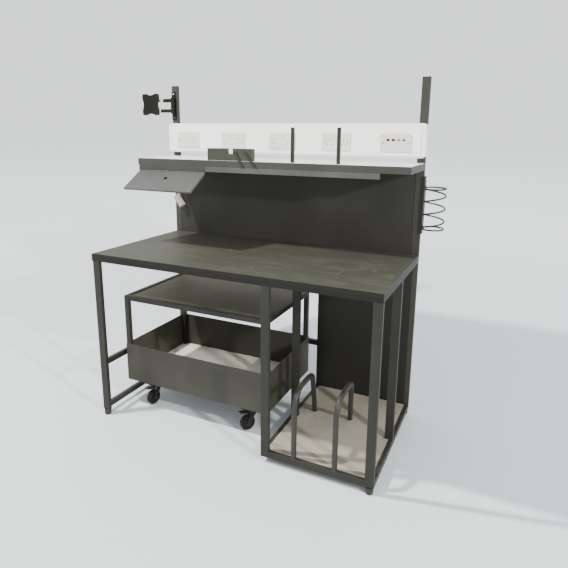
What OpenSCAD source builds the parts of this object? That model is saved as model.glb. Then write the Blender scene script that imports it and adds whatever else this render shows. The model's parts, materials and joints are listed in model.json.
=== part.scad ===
// Workbench with an overhead shelf, power trunking, a divider pedestal and a rolling trolley.
// Millimetres. X runs along the worktop, Y from front to back, Z up from the floor.

/* [Worktop] */
// Length of the worktop
worktop_w = 1500; // [1400:10:1800]
// Depth of the worktop, front edge to uprights
worktop_d = 715; // [650:5:800]
// Thickness of the worktop board
worktop_t = 20; // [16:1:30]
// Height of the worktop surface
worktop_h = 900; // [860:10:960]

/* [Frame tube] */
// Broad side of the frame tube
tube_w = 40; // [35:1:50]
// Narrow side of the frame tube
tube_d = 20; // [20:1:30]
// Wall of the frame tube
tube_wall = 2; // [1.5:0.5:3]
// Height of the side and bottom rails
rail_h = 30; // [25:1:40]
// Height of the frame above the floor
floor_gap = 30; // [26:1:40]
// Height of the left mid rail
mid_rail_z = 280; // [200:10:400]
// Height of the rear mid rail
rear_rail_z = 305; // [200:5:400]
// Length of the uprights above the wall plate of the screen bracket
upright_over = 35; // [20:5:160]
// Plate thickness of the plastic tube caps
cap_t = 4; // [3:0.5:6]

/* [Feet] */
// Diameter of a levelling foot
foot_dia = 36; // [30:1:40]
// Height of a foot pad
foot_pad_h = 18; // [12:1:20]
// Diameter of a foot stud
stud_dia = 10; // [8:1:12]
// Depth of the plug that holds a foot stud
plug_h = 22; // [15:1:40]

/* [Pedestal] */
// Width of the divider pedestal
pedestal_w = 538; // [500:2:560]
// Front face of the side posts, from the front edge
side_post_y = 348; // [250:2:420]
// Thickness of the pedestal base board
base_board_t = 12; // [9:1:18]
// Width of the ledges under the boards
ledge_w = 15; // [10:1:20]
// Thickness of the ledges
ledge_t = 3; // [2:0.5:4]
// Thickness of the pedestal back panel
back_panel_t = 3; // [2:0.5:4]

/* [Divider hoops] */
// Number of hoops
hoop_n = 2; // [1:1:3]
// Tube diameter of a hoop
hoop_dia = 25; // [20:1:30]
// Tube wall of a hoop
hoop_wall = 2; // [1.5:0.5:3]
// First hoop, from the left face of the pedestal
hoop_first = 163; // [140:1:180]
// Distance between hoops
hoop_pitch = 195; // [150:5:200]
// Height of the top of a hoop above its front rail
hoop_rise = 337; // [280:1:400]
// Centre-line radius of the bends
hoop_bend_r = 90; // [70:1:110]
// Straight run along the top
hoop_run = 75; // [40:1:120]
// Slope of the rear leg, from level
hoop_slope = 57; // [50:1:70]
// Sideways lean of the rear leg
hoop_lean = 11; // [0:1:14]

/* [Upper back panel] */
// Depth of the folded panel
upper_panel_t = 15; // [10:1:18]
// Thickness of its sheet
panel_sheet = 1.5; // [1:0.5:2]

/* [Overhead shelf] */
// Depth of the shelf
shelf_d = 330; // [300:5:400]
// Height of the shelf surface above the worktop
shelf_rise = 465; // [440:5:560]
// Height of its folded edge
shelf_lip = 35; // [30:1:50]
// Sheet thickness
sheet_t = 2; // [1.5:0.5:3]
// Thickness of the white liner
liner_t = 2; // [1:0.5:3]
// Return fold under the front edge
return_w = 27; // [25:1:35]

/* [Light bar] */
// Length of the light bar
light_l = 921; // [800:1:1000]
// Height of the light bar
light_bar_h = 27; // [20:1:35]
// Depth of the light bar
light_bar_d = 25; // [20:1:27]
// Thickness of the diffuser
diffuser_t = 3; // [2:0.5:4]

/* [Tilting flap] */
// Width of the flap
flap_w = 430; // [350:5:430]
// Depth of the flap
flap_d = 165; // [140:5:200]
// Height of the folded flap edge
flap_edge = 10; // [6:1:14]
// Slope of the flap at rest
flap_slope = 32; // [0:1:60]
// Diameter of the hole in the flap
flap_hole_dia = 14; // [6:1:16]
// Height of the hinge rail
hinge_rail_h = 28; // [20:1:34]
// Depth of the hinge rail
hinge_rail_d = 23; // [20:1:27]
// Hinge pin diameter
hinge_pin_dia = 5; // [4:0.5:6]
// Hinge barrel diameter
barrel_dia = 10; // [9:0.5:12]
// Length of a hinge barrel
barrel_l = 60; // [40:1:70]

/* [Power trunking] */
// Height of the trunking
trunk_h = 165; // [160:1:170]
// Depth of the trunking
trunk_d = 46; // [40:1:55]
// Wall of the trunking
trunk_wall = 2.5; // [2:0.5:3]
// Gap between shelf and trunking
trunk_gap = 24; // [20:1:40]
// Height of the raised lids
lid_h = 92; // [80:1:96]
// Thickness of the cover
cover_t = 3; // [2:0.5:4]
// Height of the sockets above the bottom of the trunking
socket_rise = 70; // [64:1:80]
// Length of a trunking end cap
end_cap_l = 22; // [12:1:30]
// Width of a double faceplate
plate_w = 146; // [146:1:147]
// Height of a faceplate
plate_h = 86; // [86:1:87]
// Thickness of a faceplate
plate_t = 9; // [7:0.5:11]
// Middle of the first and last faceplates, from the ends of the trunking
plate_first = 141; // [120:1:150]
// Number of double sockets
socket_n = 4; // [4:1:4]
// Depth of a back box
back_box_d = 38; // [30:1:43]

/* [Rocker switches] */
// Width of a rocker
rocker_w = 11; // [9:0.5:12]
// Height of a rocker
rocker_h = 18; // [14:0.5:20]
// Thickness of a rocker
rocker_t = 8; // [6:0.5:9]
// Distance between the two rockers of a socket
rocker_pitch = 26; // [20:1:30]
// Height of the rockers above the middle of the plate
rocker_rise = 19; // [10:1:22]
// Tilt of a rocker at rest
rocker_tilt = 5; // [3:1:6]

/* [Screen bracket] */
// Height of the wall plate
wall_plate_h = 160; // [140:5:180]
// Width of the wall plate
wall_plate_w = 30; // [26:1:36]
// Thickness of the wall plate
wall_plate_t = 4; // [3:0.5:6]
// Gap between the trunking and the wall plate
bracket_gap = 21; // [15:1:60]
// Distance between the two arm bars
arm_gap = 59; // [50:1:70]
// Height of an arm bar
arm_bar_h = 20; // [16:1:24]
// Thickness of an arm bar
arm_bar_t = 12; // [10:1:16]
// Length of the arm bars, from the pivot
arm_l = 62; // [60:1:120]
// Diameter of the pivot barrel
arm_barrel_dia = 22; // [20:1:26]
// Diameter of the pivot pin
arm_pin_dia = 8; // [6:1:10]
// Diameter of the tilt shaft
tilt_shaft_dia = 14; // [12:1:14]
// Visible length of the tilt shaft
tilt_shaft_l = 56; // [30:1:60]
// Width of the screen plate
screen_plate_w = 124; // [116:1:130]
// Thickness of the screen plate
screen_plate_t = 5; // [3:0.5:8]
// Spacing of the screen screws
screen_hole_pitch = 100; // [75:25:100]
// Diameter of the screen screw holes
screen_hole_dia = 4.5; // [4:0.5:5]

/* [Shelf fittings] */
// Side of a shelf divider post
post_side = 15; // [10:1:20]
// Height of a divider post
post_h = 165; // [120:5:200]
// First divider post, from the left end
post_x = 924; // [880:1:960]
// Distance between the posts
post_pitch = 231; // [200:1:260]
// Width of a holder bin
bin_w = 110; // [90:1:120]
// Depth of a holder bin
bin_d = 32; // [26:1:60]
// Height of a holder bin
bin_h = 60; // [40:1:80]
// Wall of a holder bin
bin_wall = 2; // [1.5:0.5:3]
// Left side of the first bin
bin_x = 456; // [440:1:480]
// Gap between the bins
bin_gap = 40; // [30:1:60]
// Height of the link between the bins
link_h = 33; // [20:1:40]
// Width of a prong
prong_w = 14; // [8:1:14]
// Thickness of a prong
prong_t = 5; // [3:0.5:6]

/* [Wire coil holder] */
// Length of the mounting bar
coil_bar_l = 285; // [260:5:320]
// Width of the mounting bar
coil_bar_w = 50; // [40:1:60]
// Thickness of the mounting bar
coil_bar_t = 8; // [5:1:10]
// Top of the mounting bar below the shelf surface
coil_bar_drop = 65; // [45:5:90]
// Outer diameter of the coil
coil_dia = 104; // [90:1:120]
// Wire diameter
wire_dia = 6; // [4:0.5:8]
// Rise of one open turn
coil_pitch = 64; // [50:1:70]
// Number of open turns
coil_turns = 3; // [2:1:3]
// Rise of the closed turn at each end
end_pitch = 8; // [7:0.5:9]

/* [Peg] */
// Diameter of the peg
peg_dia = 42; // [30:1:46]
// Length of the peg
peg_l = 72; // [50:1:90]
// Height of the middle of the peg above the worktop
peg_rise = 193; // [120:5:230]
// Lean of the peg from upright
peg_lean = 37; // [20:1:50]
// Middle of the peg, from the left face of the upright
peg_x = 50; // [40:1:55]

/* [Trolley] */
// Gap between the trolley and the pedestal
trolley_side_gap = 42; // [35:1:80]
// Gap between the trolley and the uprights
trolley_back_gap = 23; // [15:1:60]
// Height of the trolley
trolley_h = 640; // [560:5:700]
// Left side of the trolley, from the left end
trolley_x = 50; // [45:1:60]
// Front of the trolley, from the front edge
trolley_y = 150; // [130:5:155]
// Side of the trolley tube
trolley_tube = 25; // [20:1:30]
// Height of the tray walls
tray_h = 213; // [150:1:260]
// Height of the tray above the floor
tray_z = 150; // [145:1:165]
// Thickness of the trolley boards
trolley_board_t = 12; // [9:1:18]
// Board surface below the top of the frame
board_drop = 4; // [2:1:8]

/* [Castors] */
// Wheel diameter
wheel_dia = 80; // [70:1:84]
// Wheel width
wheel_w = 27; // [22:1:30]
// Height of a castor
castor_h = 125; // [122:1:130]
// Castor trail
castor_trail = 33; // [28:1:36]
// Axle diameter
axle_dia = 8; // [6:1:10]
// Kingpin diameter
kingpin_dia = 12; // [10:1:14]
// Thickness of the castor plate and fork
fork_t = 3; // [2.5:0.5:4]
// Side of the castor plate
castor_plate_w = 76; // [70:1:90]
// Castor axis, from the side of the trolley
castor_in_x = 127; // [90:1:140]
// Castor axis, from the front and back of the trolley
castor_in_y = 91; // [80:1:100]
// Resting direction of the left front castor
left_castor_turn = -98; // [-180:1:180]
// Resting direction of the right front castor
right_castor_turn = -120; // [-180:1:180]
// Width of the brake pedal
pedal_w = 30; // [24:1:34]
// Length of the brake pedal
pedal_l = 66; // [50:1:80]
// Thickness of the brake pedal
pedal_t = 4; // [3:0.5:6]

/* [Fits] */
// Gap between pieces that move or lie loose
fit_gap = 0.4; // [0.3:0.1:0.6]
// Radial clearance of a shaft in its bore
shaft_gap = 0.05; // [0.03:0.01:0.1]

/* [Hidden] */

// Smoothness of round shapes and the overrun of cuts
$fn = 48;
over = 1;

// Colours
paint = [0.33, 0.33, 0.30];
dark_paint = [0.20, 0.20, 0.18];
plastic_black = [0.08, 0.08, 0.08];
plastic_white = [0.93, 0.93, 0.91];
pale_board = [0.80, 0.76, 0.68];
steel = [0.72, 0.73, 0.74];
light_grey = [0.55, 0.56, 0.54];

// The origin is on the floor, below the middle of the whole object
plate_overlap = 31;
coil_y = worktop_d + tube_d / 2;
reach_left = arm_l + tilt_shaft_l + screen_plate_w - plate_overlap - wall_plate_w / 2;
reach_right = coil_bar_t + fit_gap + coil_dia;
reach_front = (foot_dia - tube_d) / 2;
reach_back = coil_y + coil_dia / 2;
shift_x = -(worktop_w + reach_right - reach_left) / 2;
shift_y = -(reach_back - reach_front) / 2;

// Heights and places worked out from the sizes above
frame_top = worktop_h - worktop_t;
leg_top = frame_top - tube_d;
leg_l = leg_top - floor_gap;
rail_top = floor_gap + rail_h;
back_y = worktop_d + tube_d;
pedestal_x = worktop_w - pedestal_w;
right_post_x = worktop_w - tube_w;
trolley_w = pedestal_x - trolley_side_gap - trolley_x;
trolley_d = worktop_d - trolley_back_gap - trolley_y;
shelf_h = worktop_h + shelf_rise;
shelf_y = worktop_d - shelf_d;
lip_z = shelf_h - shelf_lip;
sheet_z = shelf_h - liner_t;
trunk_z = shelf_h + trunk_gap;
bracket_z = trunk_z + trunk_h + bracket_gap + wall_plate_h / 2;
upright_h = bracket_z + wall_plate_h / 2 + upright_over;
coil_bar_top = shelf_h - coil_bar_drop;
peg_z = worktop_h + peg_rise;
trunk_x = 4;
trunk_front = worktop_d - trunk_d;
cover_y = trunk_front - cover_t;
plate_mid_z = trunk_z + socket_rise;
board_gap = 1;

// Frame helpers
module place() { translate([shift_x, shift_y, 0]) children(); }
module block(p, s) { translate(p) cube(s); }

// One bar of a welded frame: its corner, size and axis, and how far its bore runs past each end
module bar_bore(p, s, ax, a, b, wall) {
    step = [for (i = [0:2]) i == ax ? -a : wall];
    grow = [for (i = [0:2]) i == ax ? a + b : -2 * wall];
    translate(p + step) cube(s + grow);
}
// A frame made of bars, each [corner, size, axis, run before, run after]
module welded(bars, wall) {
    difference() {
        union() for (b = bars) block(b[0], b[1]);
        for (b = bars) bar_bore(b[0], b[1], b[2], b[3], b[4], wall);
    }
}
// A flat plate with round corners, drawn in X and Y
module round_rect(w, h, r) {
    translate([r, 0]) square([w - 2 * r, h]);
    translate([0, r]) square([w, h - 2 * r]);
    for (x = [r, w - r], y = [r, h - r]) translate([x, y]) circle(r);
}
// A plate that stands in X and Z, its front face at y
module standing_plate(x, y, z, w, h, t, r) {
    translate([x, y + t, z]) rotate([90, 0, 0]) linear_extrude(t) round_rect(w, h, r);
}
module cyl(d, h) { cylinder(d = d, h = h); }
module rod_x(p, d, l) { translate(p) rotate([0, 90, 0]) cyl(d, l); }
module rod_y(p, d, l) { translate(p) rotate([-90, 0, 0]) cyl(d, l); }
module rod_z(p, d, l) { translate(p) cyl(d, l); }

// Worktop board with small round corners
worktop_corner = 4;
module worktop() color(dark_paint) place() translate([0, 0, frame_top])
    linear_extrude(worktop_t) round_rect(worktop_w, worktop_d, worktop_corner);

// Flat tube ring under the worktop, its rear rail open at both ends
module worktop_frame() color(paint) place() {
    side_l = worktop_d - 2 * tube_w;
    t = tube_wall + over;
    welded([
        [[0, 0, leg_top], [worktop_w, tube_w, tube_d], 0, -tube_wall, -tube_wall],
        [[0, worktop_d - tube_w, leg_top], [worktop_w, tube_w, tube_d], 0, over, over],
        [[0, tube_w, leg_top], [tube_w, side_l, tube_d], 1, t, t],
        [[pedestal_x, tube_w, leg_top], [tube_w, side_l, tube_d], 1, t, t],
        [[right_post_x, tube_w, leg_top], [tube_w, side_l, tube_d], 1, t, t]], tube_wall);
}

// Left end: front leg, bottom rail and mid rail
module left_end_frame() color(paint) place() {
    rail_l = worktop_d - tube_d;
    t = tube_wall + over;
    welded([
        [[0, 0, floor_gap], [tube_w, tube_d, leg_l], 2, over, over],
        [[0, tube_d, floor_gap], [tube_d, rail_l, rail_h], 1, t, -tube_wall],
        [[0, tube_d, mid_rail_z], [tube_d, rail_l, rail_h], 1, t, -tube_wall]], tube_wall);
}

// The two rear uprights, open at both ends
module uprights() color(paint) place() for (x = [0, right_post_x])
    welded([[[x, worktop_d, floor_gap], [tube_w, tube_d, upright_h - cap_t - floor_gap], 2, over, over]],
        tube_wall);

// Plastic caps: upright tops, the rear post top and the ends of the rear rail
cap_plug = 14;
module tube_cap() {
    in = tube_wall;
    block([0, 0, 0], [tube_w, tube_d, cap_t]);
    block([in, in, -cap_plug], [tube_w - 2 * in, tube_d - 2 * in, cap_plug]);
}
module tube_caps() color(plastic_black) place() {
    for (x = [0, right_post_x]) translate([x, worktop_d, upright_h - cap_t]) tube_cap();
    translate([pedestal_x, worktop_d, leg_top - cap_t]) tube_cap();
    for (end = [0, 1]) translate([end * worktop_w, worktop_d - tube_w / 2, leg_top + tube_d / 2])
        rotate([0, 0, end * 180]) translate([0, -tube_w / 2 + tube_wall, -tube_d / 2 + tube_wall])
            cube([cap_plug, tube_w - 2 * tube_wall, tube_d - 2 * tube_wall]);
}

// Pedestal front: two posts and the bottom rail that carries the hoops
module pedestal_front_frame() color(paint) place() {
    t = tube_wall + over;
    welded([
        [[pedestal_x, 0, floor_gap], [tube_w, tube_d, leg_l], 2, -tube_wall, over],
        [[right_post_x, 0, floor_gap], [tube_w, tube_d, leg_l], 2, over, over],
        [[pedestal_x + tube_w, 0, floor_gap], [pedestal_w - 2 * tube_w, tube_d, rail_h], 0, t, t]],
        tube_wall);
}

// A pedestal side: bottom rail with a board ledge, and its side post
ledge_z = rail_top - base_board_t - ledge_t;
module pedestal_side(rail_x, post_x0, ledge_x) {
    t = tube_wall + over;
    welded([
        [[rail_x, tube_d, floor_gap], [tube_d, worktop_d - tube_d, rail_h], 1, -tube_wall, -tube_wall],
        [[post_x0, side_post_y, rail_top], [tube_w, tube_d, leg_top - rail_top], 2, -tube_wall, over]],
        tube_wall);
    block([ledge_x, tube_d, ledge_z], [ledge_w, worktop_d - tube_d, ledge_t]);
}
module pedestal_left_side() color(paint) place() {
    pedestal_side(pedestal_x, pedestal_x, pedestal_x + tube_d);
    welded([[[pedestal_x, worktop_d, floor_gap], [tube_w, tube_d, leg_top - cap_t - floor_gap],
        2, over, over]], tube_wall);
}
module pedestal_right_side() color(paint) place()
    pedestal_side(worktop_w - tube_d, right_post_x, worktop_w - tube_d - ledge_w);

// Rails between the uprights: rear mid rail and pedestal rear rail
module rear_rails() color(paint) place() {
    welded([[[tube_w, worktop_d, rear_rail_z], [pedestal_x - tube_w, tube_d, rail_h], 0, over, over]],
        tube_wall);
    welded([[[pedestal_x + tube_w, worktop_d, floor_gap], [pedestal_w - 2 * tube_w, tube_d, rail_h],
        0, over, over]], tube_wall);
}

// Pale board that lies on the ledges, notched round the side posts
module pedestal_base_board() color(pale_board) place() difference() {
    block([pedestal_x + tube_d + board_gap, tube_d + board_gap, ledge_z + ledge_t],
        [pedestal_w - 2 * tube_d - 2 * board_gap, worktop_d - tube_d - back_panel_t - 2 * board_gap,
        base_board_t]);
    for (x = [pedestal_x, right_post_x])
        block([x - board_gap, side_post_y - board_gap, ledge_z],
            [tube_w + 2 * board_gap, tube_d + 2 * board_gap, base_board_t + 2 * ledge_t]);
}

// Bent tube dividers: front leg, bend, top run, bend in a leaning plane and a sloping rear leg.
// Each is one swept tube, a list of rings outside and the same list inside
hoop_sides = 20;
hoop_steps = 7;
hoop_leg = hoop_rise - hoop_dia / 2 - hoop_bend_r;
function leaned(v) = [v[0] * cos(hoop_lean) + v[2] * sin(hoop_lean), v[1],
    v[2] * cos(hoop_lean) - v[0] * sin(hoop_lean)];
function tube_ring(c, u, w, r, turn) = [for (j = [0:hoop_sides - 1]) let (a = 360 * j / hoop_sides - turn)
    c + r * (cos(a) * u + sin(a) * w)];
function front_ring(r, a) = tube_ring([0, hoop_bend_r * (1 - cos(a)), hoop_leg + hoop_bend_r * sin(a)],
    [1, 0, 0], [0, cos(a), -sin(a)], r, 0);
function rear_ring(r, b) = tube_ring([0, hoop_bend_r + hoop_run, hoop_leg + hoop_bend_r]
    + leaned([0, hoop_bend_r * sin(b), hoop_bend_r * (cos(b) - 1)]),
    leaned([1, 0, 0]), leaned([0, -sin(b), -cos(b)]), r, hoop_lean);
// A ring slid along a direction down to the floor of the hoop
function grounded(ring, way) = [for (p = ring) p - way * p[2] / way[2]];
function hoop_rings(r) = concat([grounded(front_ring(r, 0), [0, 0, 1])],
    [for (k = [0:hoop_steps]) front_ring(r, 90 * k / hoop_steps)],
    [for (k = [0:hoop_steps]) rear_ring(r, hoop_slope * k / hoop_steps)],
    [grounded(rear_ring(r, hoop_slope), leaned([0, cos(hoop_slope), -sin(hoop_slope)]))]);
module hoop() {
    outer = hoop_rings(hoop_dia / 2);
    inner = hoop_rings(hoop_dia / 2 - hoop_wall);
    s = hoop_sides;
    m = len(outer) - 1;
    in = (m + 1) * s;
    skin = [for (k = [0:m - 1], j = [0:s - 1]) let (n = (j + 1) % s)
        each [[k * s + j, (k + 1) * s + j, k * s + n], [k * s + n, (k + 1) * s + j, (k + 1) * s + n]]];
    bore = [for (f = skin) [f[0] + in, f[2] + in, f[1] + in]];
    feet = [for (j = [0:s - 1]) let (n = (j + 1) % s)
        each [[j, n, in + j], [n, in + n, in + j],
            [m * s + j, in + m * s + j, m * s + n], [m * s + n, in + m * s + j, in + m * s + n]]];
    polyhedron(points = concat([for (ring = outer) each ring], [for (ring = inner) each ring]),
        faces = concat(skin, bore, feet));
}
module divider_hoops() color(paint) place() for (i = [0:hoop_n - 1])
    translate([pedestal_x + hoop_first + i * hoop_pitch, hoop_dia / 2, rail_top]) hoop();

// Dark back panel of the pedestal
module pedestal_back_panel() color(dark_paint) place()
    block([pedestal_x, worktop_d - back_panel_t, rail_top],
        [pedestal_w - tube_w + ledge_w, back_panel_t, leg_top - rail_top]);

// Levelling feet: plug in the tube, stud and pad
module levelling_foot() {
    rod_z([0, 0, 0], foot_dia, foot_pad_h);
    rod_z([0, 0, foot_pad_h], stud_dia, floor_gap - foot_pad_h);
    translate([-tube_w / 2 + tube_wall, -tube_d / 2 + tube_wall, floor_gap])
        cube([tube_w - 2 * tube_wall, tube_d - 2 * tube_wall, plug_h]);
}
module levelling_feet() color(plastic_black) place()
    for (x = [tube_w / 2, worktop_w - tube_w / 2], y = [tube_d / 2, worktop_d + tube_d / 2])
        translate([x, y, 0]) levelling_foot();

// Folded back panel between the uprights, open to the back
upper_panel_y = worktop_d + (tube_d - upper_panel_t) / 2;
module upper_back_panel() color(dark_paint) place() difference() {
    w = worktop_w - 2 * tube_w;
    h = lip_z - leg_top;
    block([tube_w, upper_panel_y, leg_top], [w, upper_panel_t, h]);
    block([tube_w + panel_sheet, upper_panel_y + panel_sheet, leg_top + panel_sheet],
        [w - 2 * panel_sheet, upper_panel_t, h - 2 * panel_sheet]);
}

// Overhead shelf: a folded tray, open below, with a return under its front edge
module overhead_shelf() color(paint) place() {
    difference() {
        block([0, shelf_y, lip_z], [worktop_w, shelf_d, shelf_lip - liner_t]);
        block([sheet_t, shelf_y + sheet_t, lip_z - over],
            [worktop_w - 2 * sheet_t, shelf_d - 2 * sheet_t, shelf_lip - liner_t - sheet_t + over]);
    }
    block([sheet_t, shelf_y + sheet_t, lip_z], [worktop_w - 2 * sheet_t, return_w - sheet_t, sheet_t]);
}
module shelf_liner() color(plastic_white) place()
    block([sheet_t, shelf_y + sheet_t, sheet_z], [worktop_w - 2 * sheet_t, shelf_d - sheet_t, liner_t]);

// Slim light bar below the front edge
flap_x = 5;
light_gap = 2;
light_x = flap_x + flap_w + light_gap;
light_wall = 2;
module light_bar() color(light_grey) place() difference() {
    block([light_x, shelf_y, lip_z - light_bar_h], [light_l, light_bar_d, light_bar_h]);
    block([light_x + light_wall, shelf_y + light_wall, lip_z - light_bar_h - over],
        [light_l - 2 * light_wall, light_bar_d - 2 * light_wall, light_bar_h - light_wall + over]);
}
module light_diffuser() color("white") place()
    block([light_x + light_wall, shelf_y + light_wall, lip_z - light_bar_h],
        [light_l - 2 * light_wall, light_bar_d - 2 * light_wall, diffuser_t]);

// Hinge of the flap: rail, three barrels and the pin
hinge_y = shelf_y + barrel_dia / 2;
barrel_seat = 1;
hinge_z = lip_z - hinge_rail_h - barrel_dia / 2 - barrel_seat;
hinge_web = 3;
barrel_gap = 0.5;
barrel_step = (flap_w - barrel_l) / 4;
module barrel(x, d_in) {
    difference() {
        rod_x([x, 0, 0], barrel_dia, barrel_l);
        rod_x([x - over, 0, 0], d_in, barrel_l + 2 * over);
    }
}
module flap_hinge() color(paint) place() {
    block([flap_x, shelf_y, lip_z - hinge_rail_h], [flap_w, hinge_rail_d, hinge_rail_h]);
    translate([flap_x, hinge_y, hinge_z]) {
        for (i = [0, 2, 4]) difference() {
            block([i * barrel_step, -hinge_web / 2, 0], [barrel_l, hinge_web, barrel_dia / 2 + barrel_seat]);
            rod_x([i * barrel_step - over, 0, 0], hinge_pin_dia, barrel_l + 2 * over);
        }
        for (i = [0, 2, 4]) barrel(i * barrel_step, hinge_pin_dia);
        rod_x([0, 0, 0], hinge_pin_dia, flap_w);
    }
}

// Tilting flap: folded sheet with two barrels on the pin and one hole
flap_clear = 2;
flap_hole_y = 62;
module tilting_flap() color(light_grey) place() translate([flap_x, hinge_y, hinge_z])
    rotate([flap_slope, 0, 0]) difference() {
        union() {
            difference() {
                rear = barrel_dia / 2 + flap_clear;
                block([0, -flap_d, sheet_t / 2 - flap_edge], [flap_w, flap_d - rear, flap_edge]);
                block([sheet_t, sheet_t - flap_d, -flap_edge],
                    [flap_w - 2 * sheet_t, flap_d, flap_edge - sheet_t / 2]);
            }
            for (i = [1, 3]) {
                rod_x([i * barrel_step + barrel_shift(i), 0, 0], barrel_dia, barrel_run());
                block([i * barrel_step + barrel_shift(i), -barrel_dia, -sheet_t / 2],
                    [barrel_run(), barrel_dia, sheet_t]);
            }
        }
        rod_x([-over, 0, 0], hinge_pin_dia + 2 * shaft_gap, flap_w + 2 * over);
        translate([flap_w / 2, -flap_hole_y, -flap_edge]) cyl(flap_hole_dia, 2 * flap_edge);
    }
// The flap's barrels fill the room between the fixed ones, less a gap at each end
function barrel_run() = min(barrel_l, 2 * barrel_step - barrel_l - 2 * barrel_gap);
function barrel_shift(i) = (barrel_l - barrel_run()) / 2;

// Trunking base: an open channel fixed to the uprights
trunk_l = worktop_w;
trunk_lip = 6;
trunk_bevel = 9;
module trunk_outline(in) {
    h = trunk_h - in;
    d = trunk_d - in;
    polygon([[0, in], [d - trunk_bevel, in], [d, in + trunk_bevel], [d, h - trunk_bevel],
        [d - trunk_bevel, h], [0, h]]);
}
module along_trunk(x, l) {
    translate([trunk_x + x, worktop_d, trunk_z]) rotate([90, 0, 0]) rotate([0, 90, 0])
        linear_extrude(l) mirror([1, 0]) children();
}
module trunking_base() color(plastic_white) place() difference() {
    along_trunk(end_cap_l, trunk_l - 2 * end_cap_l) trunk_outline(0);
    along_trunk(0, trunk_l) translate([trunk_wall, 0]) intersection() {
        trunk_outline(trunk_wall);
        square([trunk_d - trunk_wall - trunk_lip, trunk_h]);
    }
    block([trunk_x - over, trunk_front - over, trunk_z + trunk_bevel + trunk_lip],
        [trunk_l + 2 * over, trunk_lip + 2 * over, trunk_h - 2 * trunk_bevel - 2 * trunk_lip]);
}

// End caps with round corners, hollow towards the channel
cap_corner = 18;
module trunking_end_caps() color(plastic_white) place() difference() {
    intersection() {
        along_trunk(0, trunk_l) trunk_outline(0);
        standing_plate(trunk_x, trunk_front - over, trunk_z, trunk_l, trunk_h, trunk_d + 2 * over,
            cap_corner);
    }
    block([trunk_x + end_cap_l, trunk_front - over, trunk_z - over],
        [trunk_l - 2 * end_cap_l, trunk_d + 2 * over, trunk_h + 2 * over]);
    along_trunk(trunk_wall, trunk_l - 2 * trunk_wall) translate([trunk_wall, cap_corner / 2])
        square([trunk_d - 2 * trunk_wall, trunk_h - cap_corner]);
}

// Cover with windows for the faceplates, and raised lids between them
lid_t = 2;
lid_gap = 3;
lid_end = 8;
plate_pitch = (trunk_l - 2 * plate_first) / socket_n;
function plate_x(i) = trunk_x + plate_first + i * plate_pitch;
module trunking_covers() color(plastic_white) place() {
    x0 = trunk_x + end_cap_l;
    last = trunk_x + trunk_l - end_cap_l;
    half = plate_w / 2 + fit_gap;
    difference() {
        block([x0, cover_y, trunk_z + trunk_bevel], [last - x0, cover_t, trunk_h - 2 * trunk_bevel]);
        for (i = [0:socket_n])
            block([plate_x(i) - half, cover_y - over, plate_mid_z - plate_h / 2 - fit_gap],
                [2 * half, cover_t + 2 * over, plate_h + 2 * fit_gap]);
    }
    for (i = [0:socket_n + 1]) {
        a = i == 0 ? x0 + lid_end : plate_x(i - 1) + half + lid_gap;
        b = i == socket_n + 1 ? last - lid_end : plate_x(i) - half - lid_gap;
        block([a, cover_y - lid_t, plate_mid_z - lid_h / 2], [b - a, lid_t, lid_h]);
    }
}

// Faceplates: four double sockets with wells for the rockers, and a data plate
plate_corner = 4;
screw_pitch = 120.6;
screw_hole_dia = 4;
well_gap = 0.6;
plate_y = trunk_front - plate_t;
module faceplate(x) {
    standing_plate(x - plate_w / 2, plate_y, plate_mid_z - plate_h / 2, plate_w, plate_h, plate_t,
        plate_corner);
}
module plate_screw_holes(x) {
    for (s = [-1, 1])
        rod_y([x + s * screw_pitch / 2, plate_y - over, plate_mid_z], screw_hole_dia, plate_t + 2 * over);
}
module socket_plates() color(plastic_white) place() for (i = [0:socket_n - 1]) difference() {
    faceplate(plate_x(i));
    plate_screw_holes(plate_x(i));
    for (s = [-1, 1]) translate([rocker_x(i, s) - rocker_w / 2 - well_gap, plate_y - over,
        rocker_z - rocker_h / 2 - well_gap])
        cube([rocker_w + 2 * well_gap, plate_t + 2 * over, rocker_h + 2 * well_gap]);
}

// Data plate with four ports
port_pitch = 26;
port_w = 16;
port_h = 12;
port_depth = 6;
port_rise = 9;
port_gap = 0.2;
port_recess = 1;
port_n = 4;
function port_x(k) = plate_x(socket_n) + (k - (port_n - 1) / 2) * port_pitch;
module port_space(k, y, gap, depth) {
    block([port_x(k) - port_w / 2 - gap, y, plate_mid_z + port_rise - gap],
        [port_w + 2 * gap, depth, port_h + 2 * gap]);
}
module data_plate() color(plastic_white) place() difference() {
    faceplate(plate_x(socket_n));
    plate_screw_holes(plate_x(socket_n));
    for (k = [0:port_n - 1]) port_space(k, plate_y - over, 0, port_depth + over);
}
module data_ports() {
    tints = ["crimson", "royalblue", "gold", "darkseagreen"];
    place() for (k = [0:port_n - 1]) color(tints[k])
        port_space(k, plate_y + port_recess, -port_gap, port_depth - port_recess);
}

// Steel back boxes inside the trunking, open to the front
box_w = 134;
box_h = 74;
box_wall = 1.5;
module back_boxes() color(steel) place() for (i = [0:socket_n]) difference() {
    y = worktop_d - trunk_wall - back_box_d;
    block([plate_x(i) - box_w / 2, y, plate_mid_z - box_h / 2], [box_w, back_box_d, box_h]);
    block([plate_x(i) - box_w / 2 + box_wall, y - over, plate_mid_z - box_h / 2 + box_wall],
        [box_w - 2 * box_wall, back_box_d - box_wall + over, box_h - 2 * box_wall]);
}

// Screws of the faceplates
screw_head_dia = 7;
screw_head_t = 1.2;
screw_dia = 3.5;
module faceplate_screws() color(steel) place() for (i = [0:socket_n], s = [-1, 1]) {
    x = plate_x(i) + s * screw_pitch / 2;
    rod_y([x, plate_y - screw_head_t, plate_mid_z], screw_head_dia, screw_head_t);
    rod_y([x, plate_y, plate_mid_z], screw_dia, plate_t);
}

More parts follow.
